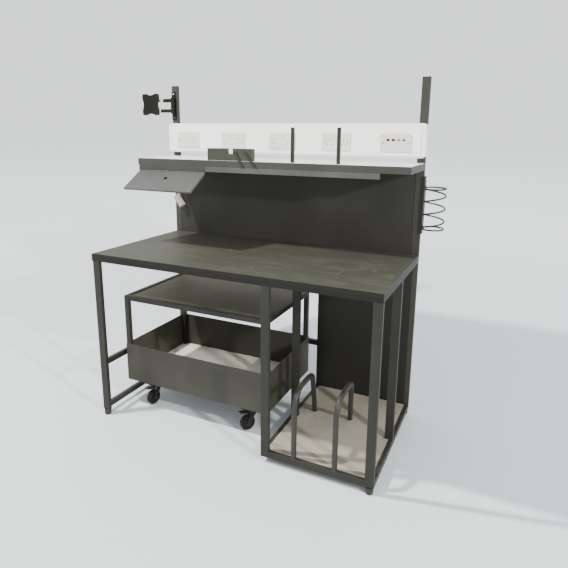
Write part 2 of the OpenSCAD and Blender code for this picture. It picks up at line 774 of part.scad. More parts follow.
// Rocker switches, each on its own axis along X
rocker_z = plate_mid_z + rocker_rise;
rocker_axis_y = plate_y + rocker_t / 2;
rocker_dish = 1;
function rocker_x(i, s) = plate_x(i) + s * rocker_pitch / 2;
module rocker(i, s) color(plastic_white) place() translate([rocker_x(i, s), rocker_axis_y, rocker_z])
    rotate([rocker_tilt, 0, 0]) rotate([0, 90, 0]) translate([0, 0, -rocker_w / 2])
        linear_extrude(rocker_w) polygon([[-rocker_h / 2, -rocker_t / 2], [0, rocker_dish - rocker_t / 2],
            [rocker_h / 2, -rocker_t / 2], [rocker_h / 2, rocker_t / 2 - rocker_dish],
            [-rocker_h / 2, rocker_t / 2 - rocker_dish]]);

// Screen bracket: wall plate with two lugs and the pivot pin
pivot_x = wall_plate_w / 2;
lug_t = 6;
wall_y = worktop_d - wall_plate_t;
arm_back_gap = 1;
pivot_y = wall_y - arm_barrel_dia / 2 - arm_back_gap;
arm_h = arm_gap + arm_bar_h;
arm_rise = 2;
arm_z = bracket_z + arm_rise - arm_h / 2;
plate_corner_r = 6;
bracket_hole_inset = 12;
bracket_screw_dia = 6;
module lug(z) {
    block([pivot_x - arm_barrel_dia / 2, pivot_y, z], [arm_barrel_dia, wall_y - pivot_y, lug_t]);
    rod_z([pivot_x, pivot_y, z], arm_barrel_dia, lug_t);
}
module screen_wall_plate() color(plastic_black) place() {
    difference() {
        standing_plate(0, wall_y, bracket_z - wall_plate_h / 2, wall_plate_w, wall_plate_h, wall_plate_t,
            plate_corner_r);
        for (s = [-1, 1])
            rod_y([pivot_x, wall_y - over, bracket_z + s * (wall_plate_h / 2 - bracket_hole_inset)],
                bracket_screw_dia + 2 * fit_gap, wall_plate_t + 2 * over);
    }
    lug(arm_z - fit_gap - lug_t);
    lug(arm_z + arm_h + fit_gap);
    rod_z([pivot_x, pivot_y, arm_z - fit_gap - lug_t], arm_pin_dia, arm_h + 2 * fit_gap + 2 * lug_t);
}

// Screws of the wall plate and of the coil bar
bracket_head_dia = 11;
bracket_head_t = 4;
module bracket_screws() color(steel) place() {
    for (s = [-1, 1]) translate([pivot_x, wall_y, bracket_z + s * (wall_plate_h / 2 - bracket_hole_inset)])
        rotate([-90, 0, 0]) {
            translate([0, 0, -bracket_head_t]) cyl(bracket_head_dia, bracket_head_t);
            cyl(bracket_screw_dia, wall_plate_t);
        }
    for (z = coil_screw_z()) translate([worktop_w + coil_bar_t, coil_y, z]) rotate([0, -90, 0]) {
        translate([0, 0, -bracket_head_t]) cyl(bracket_head_dia, bracket_head_t);
        cyl(bracket_screw_dia, coil_bar_t);
    }
}

// Arm: barrel on the pivot pin and two bars, the upper one bored for the tilt shaft
shaft_seat = 24;
boss_wall = 4;
lower_bar_gap = 3;
shaft_z = arm_z + arm_gap + arm_bar_h / 2;
shaft_end_x = pivot_x - arm_l - tilt_shaft_l;
lower_bar_l = pivot_x - shaft_end_x - plate_overlap - lower_bar_gap;
module screen_arm() color(plastic_black) place() difference() {
    union() {
        rod_z([pivot_x, pivot_y, arm_z], arm_barrel_dia, arm_h);
        block([pivot_x - lower_bar_l, pivot_y - arm_bar_t / 2, arm_z], [lower_bar_l, arm_bar_t, arm_bar_h]);
        block([pivot_x - arm_l, pivot_y - arm_bar_t / 2, arm_z + arm_gap], [arm_l, arm_bar_t, arm_bar_h]);
        block([pivot_x - arm_l, pivot_y - arm_bar_h / 2, arm_z + arm_gap],
            [shaft_seat + boss_wall, arm_bar_h, arm_bar_h]);
    }
    rod_z([pivot_x, pivot_y, arm_z - over], arm_pin_dia + 2 * shaft_gap, arm_h + 2 * over);
    rod_x([pivot_x - arm_l - over, pivot_y, shaft_z], tilt_shaft_dia + 2 * shaft_gap, shaft_seat + over);
}

// Bright tilt shaft that carries the screen plate
collar_dia = 19;
shaft_end_gap = 1;
module tilt_shaft() color(steel) place() {
    rod_x([shaft_end_x, pivot_y, shaft_z], tilt_shaft_dia, tilt_shaft_l + shaft_seat - shaft_end_gap);
    rod_x([shaft_end_x, pivot_y, shaft_z], collar_dia, tilt_shaft_l - shaft_end_gap);
}

// Screen plate with scalloped sides and four screw holes, and the hub on the shaft
scallop_r = 62;
scallop_in = 8;
plate_lobe_r = 10;
hub_w = 46;
hub_h = 44;
hub_t = 24;
plate_mid_x = shaft_end_x - screen_plate_w / 2 + plate_overlap;
hub_y = pivot_y - hub_t / 2;
screen_rise = 10;
screen_mid_z = bracket_z + screen_rise;
module scalloped(w) {
    difference() {
        translate([-w / 2, -w / 2]) round_rect(w, w, plate_lobe_r);
        for (a = [0:90:270]) rotate(a) translate([w / 2 + scallop_r - scallop_in, 0]) circle(scallop_r);
    }
}
module screen_plate() color(plastic_black) place() {
    difference() {
        translate([plate_mid_x, hub_y, screen_mid_z]) rotate([90, 0, 0])
            linear_extrude(screen_plate_t) scalloped(screen_plate_w);
        for (sx = [-1, 1], sz = [-1, 1])
            rod_y([plate_mid_x + sx * screen_hole_pitch / 2, hub_y - screen_plate_t - over,
                screen_mid_z + sz * screen_hole_pitch / 2], screen_hole_dia, screen_plate_t + 2 * over);
    }
    hub_right = shaft_end_x;
    block([hub_right - hub_w, hub_y, shaft_z - hub_h / 2], [hub_w, hub_t, hub_h]);
}

// Divider posts on the shelf
module shelf_divider_posts() color(paint) place() for (i = [0, 1])
    block([post_x + i * post_pitch, shelf_y + sheet_t, shelf_h], [post_side, post_side, post_h]);

// Holder on the shelf: two open bins, their link and two sloping prongs over the shelf edge
prong_drop = 80;
prong_leans = [44, 64];
prong_first = 8;
prong_step = 54;
module parts_holder() color(paint) place() {
    y = shelf_y;
    for (x = [bin_x, bin_x + bin_w + bin_gap]) difference() {
        block([x, y, shelf_h], [bin_w, bin_d, bin_h]);
        block([x + bin_wall, y + bin_wall, shelf_h + bin_wall],
            [bin_w - 2 * bin_wall, bin_d - 2 * bin_wall, bin_h]);
    }
    block([bin_x + bin_w, y, shelf_h], [bin_gap, prong_w, link_h]);
    for (k = [0, 1]) translate([bin_x + bin_w + bin_gap + prong_first + k * prong_step, y - prong_t,
        shelf_h + bin_h - prong_w]) rotate([90, 0, 0]) mirror([0, 0, 1])
        linear_extrude(prong_t) polygon([[0, 0], [prong_w, 0], [prong_w + prong_leans[k], -prong_drop],
            [prong_leans[k], -prong_drop]]);
}

// Bar on the right upright that carries the wire coil
coil_x = worktop_w + coil_bar_t + coil_dia / 2 + fit_gap;
coil_r = (coil_dia - wire_dia) / 2;
coil_below_bar = 54;
coil_top = coil_bar_top - coil_below_bar;
function coil_screw_z() = [coil_bar_top - bracket_hole_inset,
    coil_bar_top - coil_bar_l + bracket_hole_inset];
module coil_bar() color(plastic_black) place() difference() {
    block([worktop_w, coil_y - coil_bar_w / 2, coil_bar_top - coil_bar_l],
        [coil_bar_t, coil_bar_w, coil_bar_l]);
    for (z = coil_screw_z()) rod_x([worktop_w - over, coil_y, z], bracket_screw_dia + 2 * fit_gap,
        coil_bar_t + 2 * over);
}

// Wire coil: one closed turn at each end, open turns between, one unbroken tube
loop_rings = 24;
wire_sides = 6;
coil_loops = coil_turns + 2;
coil_rings = coil_loops * loop_rings;
function coil_drop(t) = let (u = t * coil_loops)
    u < 1 ? u * end_pitch
    : u < 1 + coil_turns ? end_pitch + (u - 1) * coil_pitch
    : end_pitch + coil_turns * coil_pitch + (u - 1 - coil_turns) * end_pitch;
function coil_point(t) = [coil_r * cos(180 + 360 * coil_loops * t), coil_r * sin(180 + 360 * coil_loops * t),
    -coil_drop(t)];
function coil_ring(k) = let (t = k / coil_rings, c = coil_point(t), a = 180 + 360 * coil_loops * t)
    [for (j = [0:wire_sides - 1]) let (b = 360 * j / wire_sides)
        c + wire_dia / 2 * [cos(b) * cos(a), cos(b) * sin(a), sin(b)]];
coil_gap = min([for (i = [0:coil_rings], j = [i + loop_rings / 2:coil_rings])
    norm(coil_point(i / coil_rings) - coil_point(j / coil_rings))]) - wire_dia;
echo(least_gap_in_coil = coil_gap);
module wire_coil() color(plastic_black) place() translate([coil_x, coil_y, coil_top]) {
    s = wire_sides;
    points = [for (k = [0:coil_rings]) each coil_ring(k)];
    sides = [for (k = [0:coil_rings - 1], j = [0:s - 1]) let (n = (j + 1) % s)
        each [[k * s + j, k * s + n, (k + 1) * s + j], [k * s + n, (k + 1) * s + n, (k + 1) * s + j]]];
    ends = [for (j = [1:s - 2]) each [[0, j + 1, j],
        [coil_rings * s, coil_rings * s + j, coil_rings * s + j + 1]]];
    polyhedron(points = points, faces = concat(sides, ends));
}

// Peg that leans across the left upright, on a saddle
saddle_w = 24;
saddle_h = 30;
saddle_rise = 12;
saddle_t = 6;
peg_end_t = 6;
peg_end_grow = 4;
peg_y = worktop_d - saddle_t - peg_dia / 2;
module along_peg() { translate([peg_x, peg_y, peg_z]) rotate([0, -peg_lean, 0]) children(); }
module tool_peg() color(pale_board) place() {
    along_peg() {
        translate([0, 0, -peg_l / 2]) cyl(peg_dia, peg_l);
        translate([0, 0, -peg_l / 2]) cyl(peg_dia + peg_end_grow, peg_end_t);
    }
    difference() {
        block([tube_w - saddle_w, peg_y, peg_z + saddle_rise], [saddle_w, worktop_d - peg_y, saddle_h]);
        along_peg() translate([0, 0, -peg_l]) cyl(peg_dia - over, 2 * peg_l);
    }
}

// Trolley frame: four posts on the tray floor, the top ring and the board ledges
trolley_right = trolley_x + trolley_w;
trolley_back = trolley_y + trolley_d;
post_in = sheet_t;
frame_x = trolley_x + post_in;
frame_y = trolley_y + post_in;
frame_w = trolley_w - 2 * post_in;
frame_d = trolley_d - 2 * post_in;
ring_z = trolley_h - trolley_tube;
ledge_top = trolley_h - board_drop - trolley_board_t;
module trolley_frame() color(paint) place() {
    t = trolley_tube;
    p = tube_wall + over;
    post_z = tray_z + sheet_t;
    xs = [frame_x, frame_x + frame_w - t];
    ys = [frame_y, frame_y + frame_d - t];
    welded(concat(
        [for (x = xs, y = ys) [[x, y, post_z], [t, t, trolley_h - post_z], 2, over, -tube_wall]],
        [for (y = ys) [[frame_x + t, y, ring_z], [frame_w - 2 * t, t, t], 0, p, p]],
        [for (x = xs) [[x, frame_y + t, ring_z], [t, frame_d - 2 * t, t], 1, p, p]]), tube_wall);
    for (y = [frame_y + t, frame_y + frame_d - t - ledge_w])
        block([frame_x + t, y, ledge_top - ledge_t], [frame_w - 2 * t, ledge_w, ledge_t]);
}
module trolley_top_board() color(pale_board) place()
    block([frame_x + trolley_tube + board_gap, frame_y + trolley_tube + board_gap, ledge_top],
        [frame_w - 2 * trolley_tube - 2 * board_gap, frame_d - 2 * trolley_tube - 2 * board_gap,
        trolley_board_t]);

// Tray: folded sheet with two castor rails welded below
castor_rail_w = 80;
castor_rail_inset = 30;
module trolley_tray() color(paint) place() {
    difference() {
        block([trolley_x, trolley_y, tray_z], [trolley_w, trolley_d, tray_h]);
        block([trolley_x + sheet_t, trolley_y + sheet_t, tray_z + sheet_t],
            [trolley_w - 2 * sheet_t, trolley_d - 2 * sheet_t, tray_h]);
    }
    for (x = castor_xs()) difference() {
        block([x - castor_rail_w / 2, trolley_y + castor_rail_inset, castor_h],
            [castor_rail_w, trolley_d - 2 * castor_rail_inset, tray_z - castor_h]);
        block([x - castor_rail_w / 2 + sheet_t, trolley_y + castor_rail_inset - over, castor_h + sheet_t],
            [castor_rail_w - 2 * sheet_t, trolley_d - 2 * castor_rail_inset + 2 * over,
            tray_z - castor_h - sheet_t]);
    }
}
module tray_floor_board() color(pale_board) place() difference() {
    in = sheet_t + board_gap;
    block([trolley_x + in, trolley_y + in, tray_z + sheet_t],
        [trolley_w - 2 * in, trolley_d - 2 * in, trolley_board_t]);
    side = trolley_tube + board_gap;
    for (x = [frame_x - board_gap, frame_x + frame_w - side + board_gap],
        y = [frame_y - board_gap, frame_y + frame_d - side + board_gap])
        block([x - board_gap, y - board_gap, tray_z],
            [side + board_gap, side + board_gap, 2 * trolley_board_t]);
}

// Castors. A fork is drawn with its kingpin at the origin and its trail along X
function castor_xs() = [trolley_x + castor_in_x, trolley_right - castor_in_x];
castor_front_y = trolley_y + castor_in_y;
castor_rear_y = trolley_back - castor_in_y;
wheel_r = wheel_dia / 2;
crown_dia = 50;
crown_h = 14;
crown_top = castor_h - fork_t - fit_gap;
bridge_z = crown_top - crown_h - fork_t;
wheel_side_gap = 2;
leg_y = wheel_w / 2 + wheel_side_gap;
leg_half = 20;
eye_r = 12;
nut_grow = 5;
kingpin_head_dia = 20;
module castor_plate() {
    translate([-castor_plate_w / 2, -castor_plate_w / 2, castor_h - fork_t])
        linear_extrude(fork_t) round_rect(castor_plate_w, castor_plate_w, eye_r / 2);
}
module fork_legs(trail) {
    for (s = [-1, 1]) translate([0, s > 0 ? leg_y + fork_t : -leg_y, 0]) rotate([90, 0, 0])
        linear_extrude(fork_t) {
            polygon([[-leg_half, bridge_z + fork_t], [leg_half, bridge_z + fork_t],
                [trail + eye_r, wheel_r], [trail - eye_r, wheel_r]]);
            translate([trail, wheel_r]) circle(eye_r);
        }
    rod_y([trail, -leg_y - 2 * fork_t, wheel_r], axle_dia, 2 * leg_y + 4 * fork_t);
    for (s = [-1, 1]) translate([trail, s * (leg_y + 1.5 * fork_t), wheel_r]) rotate([90, 0, 0])
        cylinder(d = axle_dia + nut_grow, h = fork_t, center = true, $fn = 6);
}
module front_castor_plates() color(steel) place() for (x = castor_xs()) translate([x, castor_front_y, 0]) {
    castor_plate();
    rod_z([0, 0, bridge_z - fork_t], kingpin_dia, castor_h - fork_t - bridge_z + fork_t);
    rod_z([0, 0, bridge_z - fit_gap - fork_t], kingpin_head_dia, fork_t);
}
pedal_axis_x = 14;
pedal_axis_drop = 6;
pedal_axis_z = bridge_z - pedal_axis_drop;
pedal_pin_dia = 5;
module castor_fork() {
    difference() {
        union() {
            rod_z([0, 0, bridge_z], crown_dia, crown_h + fork_t);
            block([-leg_half, -leg_y - fork_t, bridge_z], [2 * leg_half, 2 * leg_y + 2 * fork_t, fork_t]);
            fork_legs(castor_trail);
        }
        rod_z([0, 0, bridge_z - over], kingpin_dia + 2 * shaft_gap, crown_h + fork_t + 2 * over);
        rod_y([pedal_axis_x, -leg_y - fork_t - over, pedal_axis_z], pedal_pin_dia + 2 * shaft_gap,
            2 * leg_y + 2 * fork_t + 2 * over);
    }
}
module left_castor_fork() color(steel) place()
    translate([castor_xs()[0], castor_front_y, 0]) rotate(left_castor_turn) castor_fork();
module right_castor_fork() color(steel) place()
    translate([castor_xs()[1], castor_front_y, 0]) rotate(right_castor_turn) castor_fork();
module rear_castor_forks() color(steel) place() for (x = castor_xs()) translate([x, castor_rear_y, 0])
    rotate(90) {
        castor_plate();
        block([-leg_half, -leg_y - fork_t, bridge_z + fork_t],
            [2 * leg_half, 2 * leg_y + 2 * fork_t, castor_h - bridge_z - 2 * fork_t]);
        fork_legs(0);
    }

// Wheel with a round tread, a dished hub and its bore
tread_r = 4;
hub_dish = 4;
hub_r = 13;
rim_r = 30;
module wheel() {
    difference() {
        rotate([90, 0, 0]) rotate_extrude() difference() {
            union() {
                translate([0, -wheel_w / 2]) square([wheel_r - tread_r, wheel_w]);
                translate([0, tread_r - wheel_w / 2]) square([wheel_r, wheel_w - 2 * tread_r]);
                for (s = [-1, 1]) translate([wheel_r - tread_r, s * (wheel_w / 2 - tread_r)])
                    circle(tread_r);
            }
            for (s = [-1, 1]) translate([hub_r, s > 0 ? wheel_w / 2 - hub_dish : -wheel_w / 2 - over])
                square([rim_r - hub_r, hub_dish + over]);
        }
        rod_y([0, -wheel_w, 0], axle_dia + 2 * shaft_gap, 2 * wheel_w);
    }
}
module trailing_wheel(x, turn) color(plastic_black) place()
    translate([x, castor_front_y, 0]) rotate(turn) translate([castor_trail, 0, wheel_r]) wheel();
module fixed_wheel(x) color(plastic_black) place()
    translate([x, castor_rear_y, wheel_r]) rotate(90) wheel();

// Brake pedal over the wheel, on a pin through the fork, with its shoe
pedal_rise = 8;
shoe_x = 19;
shoe_l = 12;
shoe_h = 13;
module brake_pedal(x, turn) color(plastic_black) place() translate([x, castor_front_y, 0]) rotate(turn)
    translate([pedal_axis_x, 0, pedal_axis_z]) rotate([0, -pedal_rise, 0]) {
        rod_y([0, -leg_y - fork_t, 0], pedal_pin_dia, 2 * leg_y + 2 * fork_t);
        block([0, fit_gap - leg_y, -pedal_t / 2], [leg_half, 2 * leg_y - 2 * fit_gap, pedal_t]);
        block([leg_half, -pedal_w / 2, -pedal_t / 2], [pedal_l - leg_half, pedal_w, pedal_t]);
        block([shoe_x, -wheel_w / 2, -pedal_t / 2 - shoe_h], [shoe_l, wheel_w, shoe_h]);
    }

worktop();
worktop_frame();
left_end_frame();
uprights();
tube_caps();
pedestal_front_frame();
pedestal_left_side();
pedestal_right_side();
rear_rails();
pedestal_base_board();
divider_hoops();
pedestal_back_panel();
levelling_feet();
upper_back_panel();
overhead_shelf();
shelf_liner();
light_bar();
light_diffuser();
flap_hinge();
trunking_base();
trunking_covers();
trunking_end_caps();
socket_plates();
data_plate();
data_ports();
back_boxes();
faceplate_screws();
screen_wall_plate();
bracket_screws();
shelf_divider_posts();
parts_holder();
coil_bar();
wire_coil();
tool_peg();
rocker(0, -1);  // switch_1_left
rocker(0, 1);  // switch_1_right
rocker(1, -1);  // switch_2_left
rocker(1, 1);  // switch_2_right
rocker(2, -1);  // switch_3_left
rocker(2, 1);  // switch_3_right
rocker(3, -1);  // switch_4_left
rocker(3, 1);  // switch_4_right
tilting_flap();
screen_arm();
tilt_shaft();
screen_plate();
trolley_frame();
trolley_top_board();
trolley_tray();
tray_floor_board();
front_castor_plates();
rear_castor_forks();
left_castor_fork();
right_castor_fork();
trailing_wheel(castor_xs()[0], left_castor_turn);  // front_left_wheel
trailing_wheel(castor_xs()[1], right_castor_turn);  // front_right_wheel
fixed_wheel(castor_xs()[0]);  // rear_left_wheel
fixed_wheel(castor_xs()[1]);  // rear_right_wheel
brake_pedal(castor_xs()[0], left_castor_turn);  // left_brake_pedal
brake_pedal(castor_xs()[1], right_castor_turn);  // right_brake_pedal
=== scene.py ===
import json
import math

import bmesh
import bpy
from mathutils import Matrix, Vector


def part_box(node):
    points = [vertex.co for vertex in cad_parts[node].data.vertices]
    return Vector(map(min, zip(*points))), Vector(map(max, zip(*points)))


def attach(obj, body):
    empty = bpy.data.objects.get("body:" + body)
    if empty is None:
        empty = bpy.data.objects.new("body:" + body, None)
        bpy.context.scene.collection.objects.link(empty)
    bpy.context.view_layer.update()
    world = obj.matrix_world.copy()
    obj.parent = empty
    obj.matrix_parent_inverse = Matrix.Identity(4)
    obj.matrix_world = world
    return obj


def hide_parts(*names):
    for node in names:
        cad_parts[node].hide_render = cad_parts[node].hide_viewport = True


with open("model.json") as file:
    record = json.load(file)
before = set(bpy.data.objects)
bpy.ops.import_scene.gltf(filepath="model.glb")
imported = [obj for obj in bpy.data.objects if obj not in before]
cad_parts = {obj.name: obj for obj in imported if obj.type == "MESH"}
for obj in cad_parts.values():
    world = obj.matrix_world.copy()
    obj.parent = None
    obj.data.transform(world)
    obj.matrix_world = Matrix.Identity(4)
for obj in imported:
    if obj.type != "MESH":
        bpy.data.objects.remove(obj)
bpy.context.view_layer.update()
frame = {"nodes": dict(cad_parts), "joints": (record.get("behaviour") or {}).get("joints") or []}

# Finer pieces and finishes for the packing workbench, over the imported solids.
# Places are in millimetres, from the worktop's front left corner and from the floor.
solids = frame["nodes"]
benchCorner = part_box("worktop")[0]


def mm(x, y, z):
    return Vector((benchCorner.x + x / 1000, benchCorner.y + y / 1000, z / 1000))


def middle(solid):
    low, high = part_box(solid)
    return (low + high) / 2


# shader kit: one value, colour or vector on its way through a finish
class Wire:
    def __init__(self, finish, socket):
        self.finish = finish
        self.socket = socket

    def combine(self, operation, first, second):
        return self.finish.node("Math", {"operation": operation}, {0: first, 1: second})

    def __add__(self, other):
        return self.combine("ADD", self, other)

    def __radd__(self, other):
        return self.combine("ADD", other, self)

    def __sub__(self, other):
        return self.combine("SUBTRACT", self, other)

    def __rsub__(self, other):
        return self.combine("SUBTRACT", other, self)

    def __mul__(self, other):
        return self.combine("MULTIPLY", self, other)

    def __rmul__(self, other):
        return self.combine("MULTIPLY", other, self)

    def step(self, low, high):        # 0 below low, 1 above high, soft between
        return self.finish.node("MapRange", {"interpolation_type": "SMOOTHSTEP"},
                                {"Value": self, "From Min": low, "From Max": high})


class Finish:
    # one material; everything that is the same all over is set straight on the shader
    def __init__(self, name, fixed):
        self.material = bpy.data.materials.new(name)
        self.material.use_nodes = True
        self.tree = self.material.node_tree
        self.tree.nodes.clear()
        self.shader = self.tree.nodes.new("ShaderNodeBsdfPrincipled")
        output = self.tree.nodes.new("ShaderNodeOutputMaterial")
        self.tree.links.new(self.shader.outputs[0], output.inputs[0])
        for label, value in fixed.items():
            self.feed(self.shader.inputs[label], value)

    def feed(self, socket, value):
        if isinstance(value, Wire):
            self.tree.links.new(value.socket, socket)
        else:
            socket.default_value = value

    def node(self, kind, settings=None, feeds=None, out=0):
        made = self.tree.nodes.new("ShaderNode" + kind)
        for label, value in (settings or {}).items():
            setattr(made, label, value)
        for label, value in (feeds or {}).items():
            self.feed(made.inputs[label], value)
        return Wire(self, made.outputs[out])

    def where(self, stretch=None):        # place on the piece, in metres
        spot = self.node("TexCoord", out="Object")
        if stretch:
            spot = self.node("VectorMath", {"operation": "MULTIPLY"}, {0: spot, 1: stretch})
        return spot

    def noise(self, scale, detail, rough=0.55, stretch=None, twist=0.0):
        return self.node("TexNoise", {}, {"Vector": self.where(stretch), "Scale": scale, "Detail": detail,
                                          "Roughness": rough, "Distortion": twist})

    def cells(self, scale, stretch):
        return self.node("TexVoronoi", {}, {"Vector": self.where(stretch), "Scale": scale})

    def blend(self, share, first, second):
        return self.node("Mix", {"data_type": "RGBA"}, {0: share, 6: first, 7: second}, out=2)

    def ground(self, share, look):        # the two base tones
        return self.blend(share, shade(*look["dark"]), shade(*look["light"]))

    def over(self, base, share, tone):        # a tone laid over the base where share is 1
        return self.blend(share, base, shade(*tone))

    def facingUp(self, low, high):        # 1 where the surface faces up
        normal = self.node("NewGeometry", out="Normal")
        along = self.node("VectorMath", {"operation": "DOT_PRODUCT"}, {0: normal, 1: (0, 0, 1)}, out="Value")
        return along.step(low, high)

    def edges(self, reach):        # 1 along edges and corners
        rounded = self.node("Bevel", {"samples": 4}, {"Radius": reach})
        normal = self.node("NewGeometry", out="Normal")
        same = self.node("VectorMath", {"operation": "DOT_PRODUCT"}, {0: rounded, 1: normal}, out="Value")
        return (1 - same).step(0.03, 0.22)

    def relief(self, height, depth):
        return self.node("Bump", {}, {"Height": height, "Distance": depth})

    def wear(self, colour, rough, normal=None):
        self.feed(self.shader.inputs["Base Color"], colour)
        self.feed(self.shader.inputs["Roughness"], rough)
        if normal is not None:
            self.feed(self.shader.inputs["Normal"], normal)
        return self.material


def linear(v):        # one channel as the eye reads it, 0 to 255, for the shader
    return v / 255 / 12.92 if v <= 10 else ((v / 255 + 0.055) / 1.055) ** 2.4


def shade(r, g, b):
    return linear(r), linear(g), linear(b), 1.0


# finishes
powderCoat = {"cloudScale": 2.6, "mottleScale": 38, "grainScale": 620, "grainDepth": 0.00006,
              "dustScale": 5.5, "rubScale": 46, "edgeReach": 0.0022, "markScale": 9, "rough": 0.46}


def coated(name, look):
    # powder coat: soft clouds, orange peel, rubbed edges, dust on what faces up
    f = Finish(name, {"Specular IOR Level": look.get("gloss", 0.24)})
    clouds = f.noise(powderCoat["cloudScale"], 4, 0.6)
    mottle = f.noise(powderCoat["mottleScale"], 5, 0.62)
    grain = f.noise(powderCoat["grainScale"], 2, 0.5)
    base = f.ground(clouds.step(0.3, 0.72), look)
    base = f.over(base, mottle.step(0.52, 0.8) * 0.35, look["light"])
    dusty = f.facingUp(0.6, 0.95) * f.noise(powderCoat["dustScale"], 5, 0.6).step(0.28, 0.75) * look["dust"]
    base = f.over(base, dusty, look["dustShade"])
    patchy = f.noise(powderCoat["rubScale"], 4, 0.7).step(0.42, 0.66)
    rubbed = f.edges(powderCoat["edgeReach"]) * patchy * look["rub"]
    base = f.over(base, rubbed, look["rubShade"])
    streaks = f.noise(powderCoat["markScale"], 6, 0.7, look.get("streak", (1, 1, 0.25)), 0.6)
    base = f.over(base, streaks.step(0.66, 0.74) * look["marks"], look["markShade"])
    rough = powderCoat["rough"] + look.get("matt", 0) + grain * 0.1 + dusty * 0.3 - rubbed * 0.12
    return f.wear(base, rough, f.relief(grain + mottle * 0.5, powderCoat["grainDepth"]))


laminateFace = {"cloudScale": 1.8, "pearlScale": 900, "pearlDepth": 0.00005, "fleckScale": 140,
                "wipeScale": 3.2, "scratchScales": (26, 30), "spotScale": 17, "rubScale": 40,
                "edgeReach": 0.003}


def laminate(name, look):
    # worktop: fine pearl texture, wiped arcs, small pale scuffs and scratches
    f = Finish(name, {"Specular IOR Level": 0.2})
    clouds = f.noise(laminateFace["cloudScale"], 4, 0.55)
    pearl = f.noise(laminateFace["pearlScale"], 2, 0.5)
    base = f.ground(clouds.step(0.3, 0.72), look)
    base = f.over(base, f.noise(laminateFace["fleckScale"], 3, 0.6).step(0.45, 0.8) * 0.25, look["fleck"])
    wiped = f.noise(laminateFace["wipeScale"], 5, 0.62, (1, 2.6, 1), 1.4).step(0.45, 0.75)
    wiped = wiped * f.facingUp(0.7, 0.98) * look["wipe"]
    base = f.over(base, wiped, look["dustShade"])
    sideways, lengthways = laminateFace["scratchScales"]
    scratch = (f.noise(sideways, 2, 0.4, (0.14, 1.6, 1), 0.9).step(0.735, 0.75)
               + f.noise(lengthways, 2, 0.4, (1.4, 0.16, 1), 1.1).step(0.745, 0.76))
    base = f.over(base, scratch * 0.35, look["mark"])
    spots = f.noise(laminateFace["spotScale"], 3, 0.5, None, 0.4).step(0.73, 0.78)
    base = f.over(base, spots * 0.5, look["mark"])
    base = f.over(base, 1 - f.facingUp(0.3, 0.7), look["paintedSideShade"])        # painted shade: darker on every face that doesn't face up
    patchy = f.noise(laminateFace["rubScale"], 4, 0.7).step(0.35, 0.6)
    base = f.over(base, f.edges(laminateFace["edgeReach"]) * patchy * 0.55, look["edge"])
    rough = look["rough"] + pearl * 0.08 + wiped * 0.25
    return f.wear(base, rough, f.relief(pearl - scratch * 0.6, laminateFace["pearlDepth"]))


boardFace = {"cloudScale": 2.4, "fibreScale": 60, "chipScale": 260, "depth": 0.00012, "stainScale": 7,
             "scuffScale": 34}


def facedBoard(name, look):
    # faced board: faint fibre, stains, scuffs and a raw edge
    f = Finish(name, {"Specular IOR Level": 0.3})
    fibre = f.noise(boardFace["fibreScale"], 6, 0.65, (0.25, 1.6, 1))
    chips = f.cells(boardFace["chipScale"], (1, 1, 1.6))
    base = f.ground(f.noise(boardFace["cloudScale"], 4, 0.55).step(0.3, 0.7), look)
    base = f.over(base, fibre.step(0.5, 0.72) * 0.3, look["fibre"])
    sides = 1 - f.facingUp(0.3, 0.6)
    base = f.over(base, sides * (0.35 + chips.step(0.1, 0.7) * 0.4), look["core"])
    stains = f.noise(boardFace["stainScale"], 5, 0.6, None, 0.8).step(0.56, 0.74) * 0.28
    base = f.over(base, stains, look["stain"])
    scuffs = f.noise(boardFace["scuffScale"], 3, 0.5, (0.2, 1.4, 1), 0.7).step(0.72, 0.745)
    base = f.over(base, scuffs * 0.3, look["scuff"])
    rough = 0.55 + fibre * 0.12 + stains * 0.1
    return f.wear(base, rough, f.relief(fibre + sides * chips, boardFace["depth"]))


mouldFace = {"cloudScale": 6, "sparkScale": 1500, "sparkDepth": 0.00003, "grimeScale": 32,
             "edgeReach": 0.0025, "hazeScale": 14}


def moulded(name, look):
    # moulded plastic: even colour, a little grime along the edges, a haze and a fine spark texture
    f = Finish(name, {"Specular IOR Level": look.get("gloss", 0.45)})
    spark = f.noise(mouldFace["sparkScale"], 2, 0.5)
    base = f.ground(f.noise(mouldFace["cloudScale"], 3, 0.5).step(0.3, 0.75), look)
    patchy = f.noise(mouldFace["grimeScale"], 4, 0.65).step(0.4, 0.7)
    grime = f.edges(mouldFace["edgeReach"]) * patchy * look.get("grime", 0.25)
    base = f.over(base, grime, look.get("grimeShade", (150, 146, 138)))
    hazy = f.noise(mouldFace["hazeScale"], 5, 0.6, None, 0.5).step(0.55, 0.78) * look.get("haze", 0.12)
    base = f.over(base, hazy, look.get("hazeShade", (170, 168, 160)))
    rough = look["rough"] + spark * 0.07 + hazy * 0.2
    return f.wear(base, rough, f.relief(spark, look.get("depth", mouldFace["sparkDepth"])))


plateFace = {"brushScale": 180, "brushDepth": 0.00003, "dullScale": 22}


def plated(name, look):
    # zinc or bright plate: spangle, fine brushing and dull patches
    f = Finish(name, {"Metallic": 1.0})
    spangle = f.cells(look["spangle"], (1, 1.3, 1))
    brushed = f.noise(plateFace["brushScale"], 4, 0.6, (1, 1, 0.06))
    dull = f.noise(plateFace["dullScale"], 5, 0.65).step(0.5, 0.75) * look.get("dull", 0.4)
    base = f.ground(spangle.step(0.1, 0.8), look)
    base = f.over(base, dull, look.get("dullShade", (120, 118, 112)))
    rough = look["rough"] + brushed * 0.12 + dull * 0.25
    return f.wear(base, rough, f.relief(brushed, plateFace["brushDepth"]))


treadFace = {"cloudScale": 30, "grainScale": 420, "grainDepth": 0.0001, "dustScale": 75}


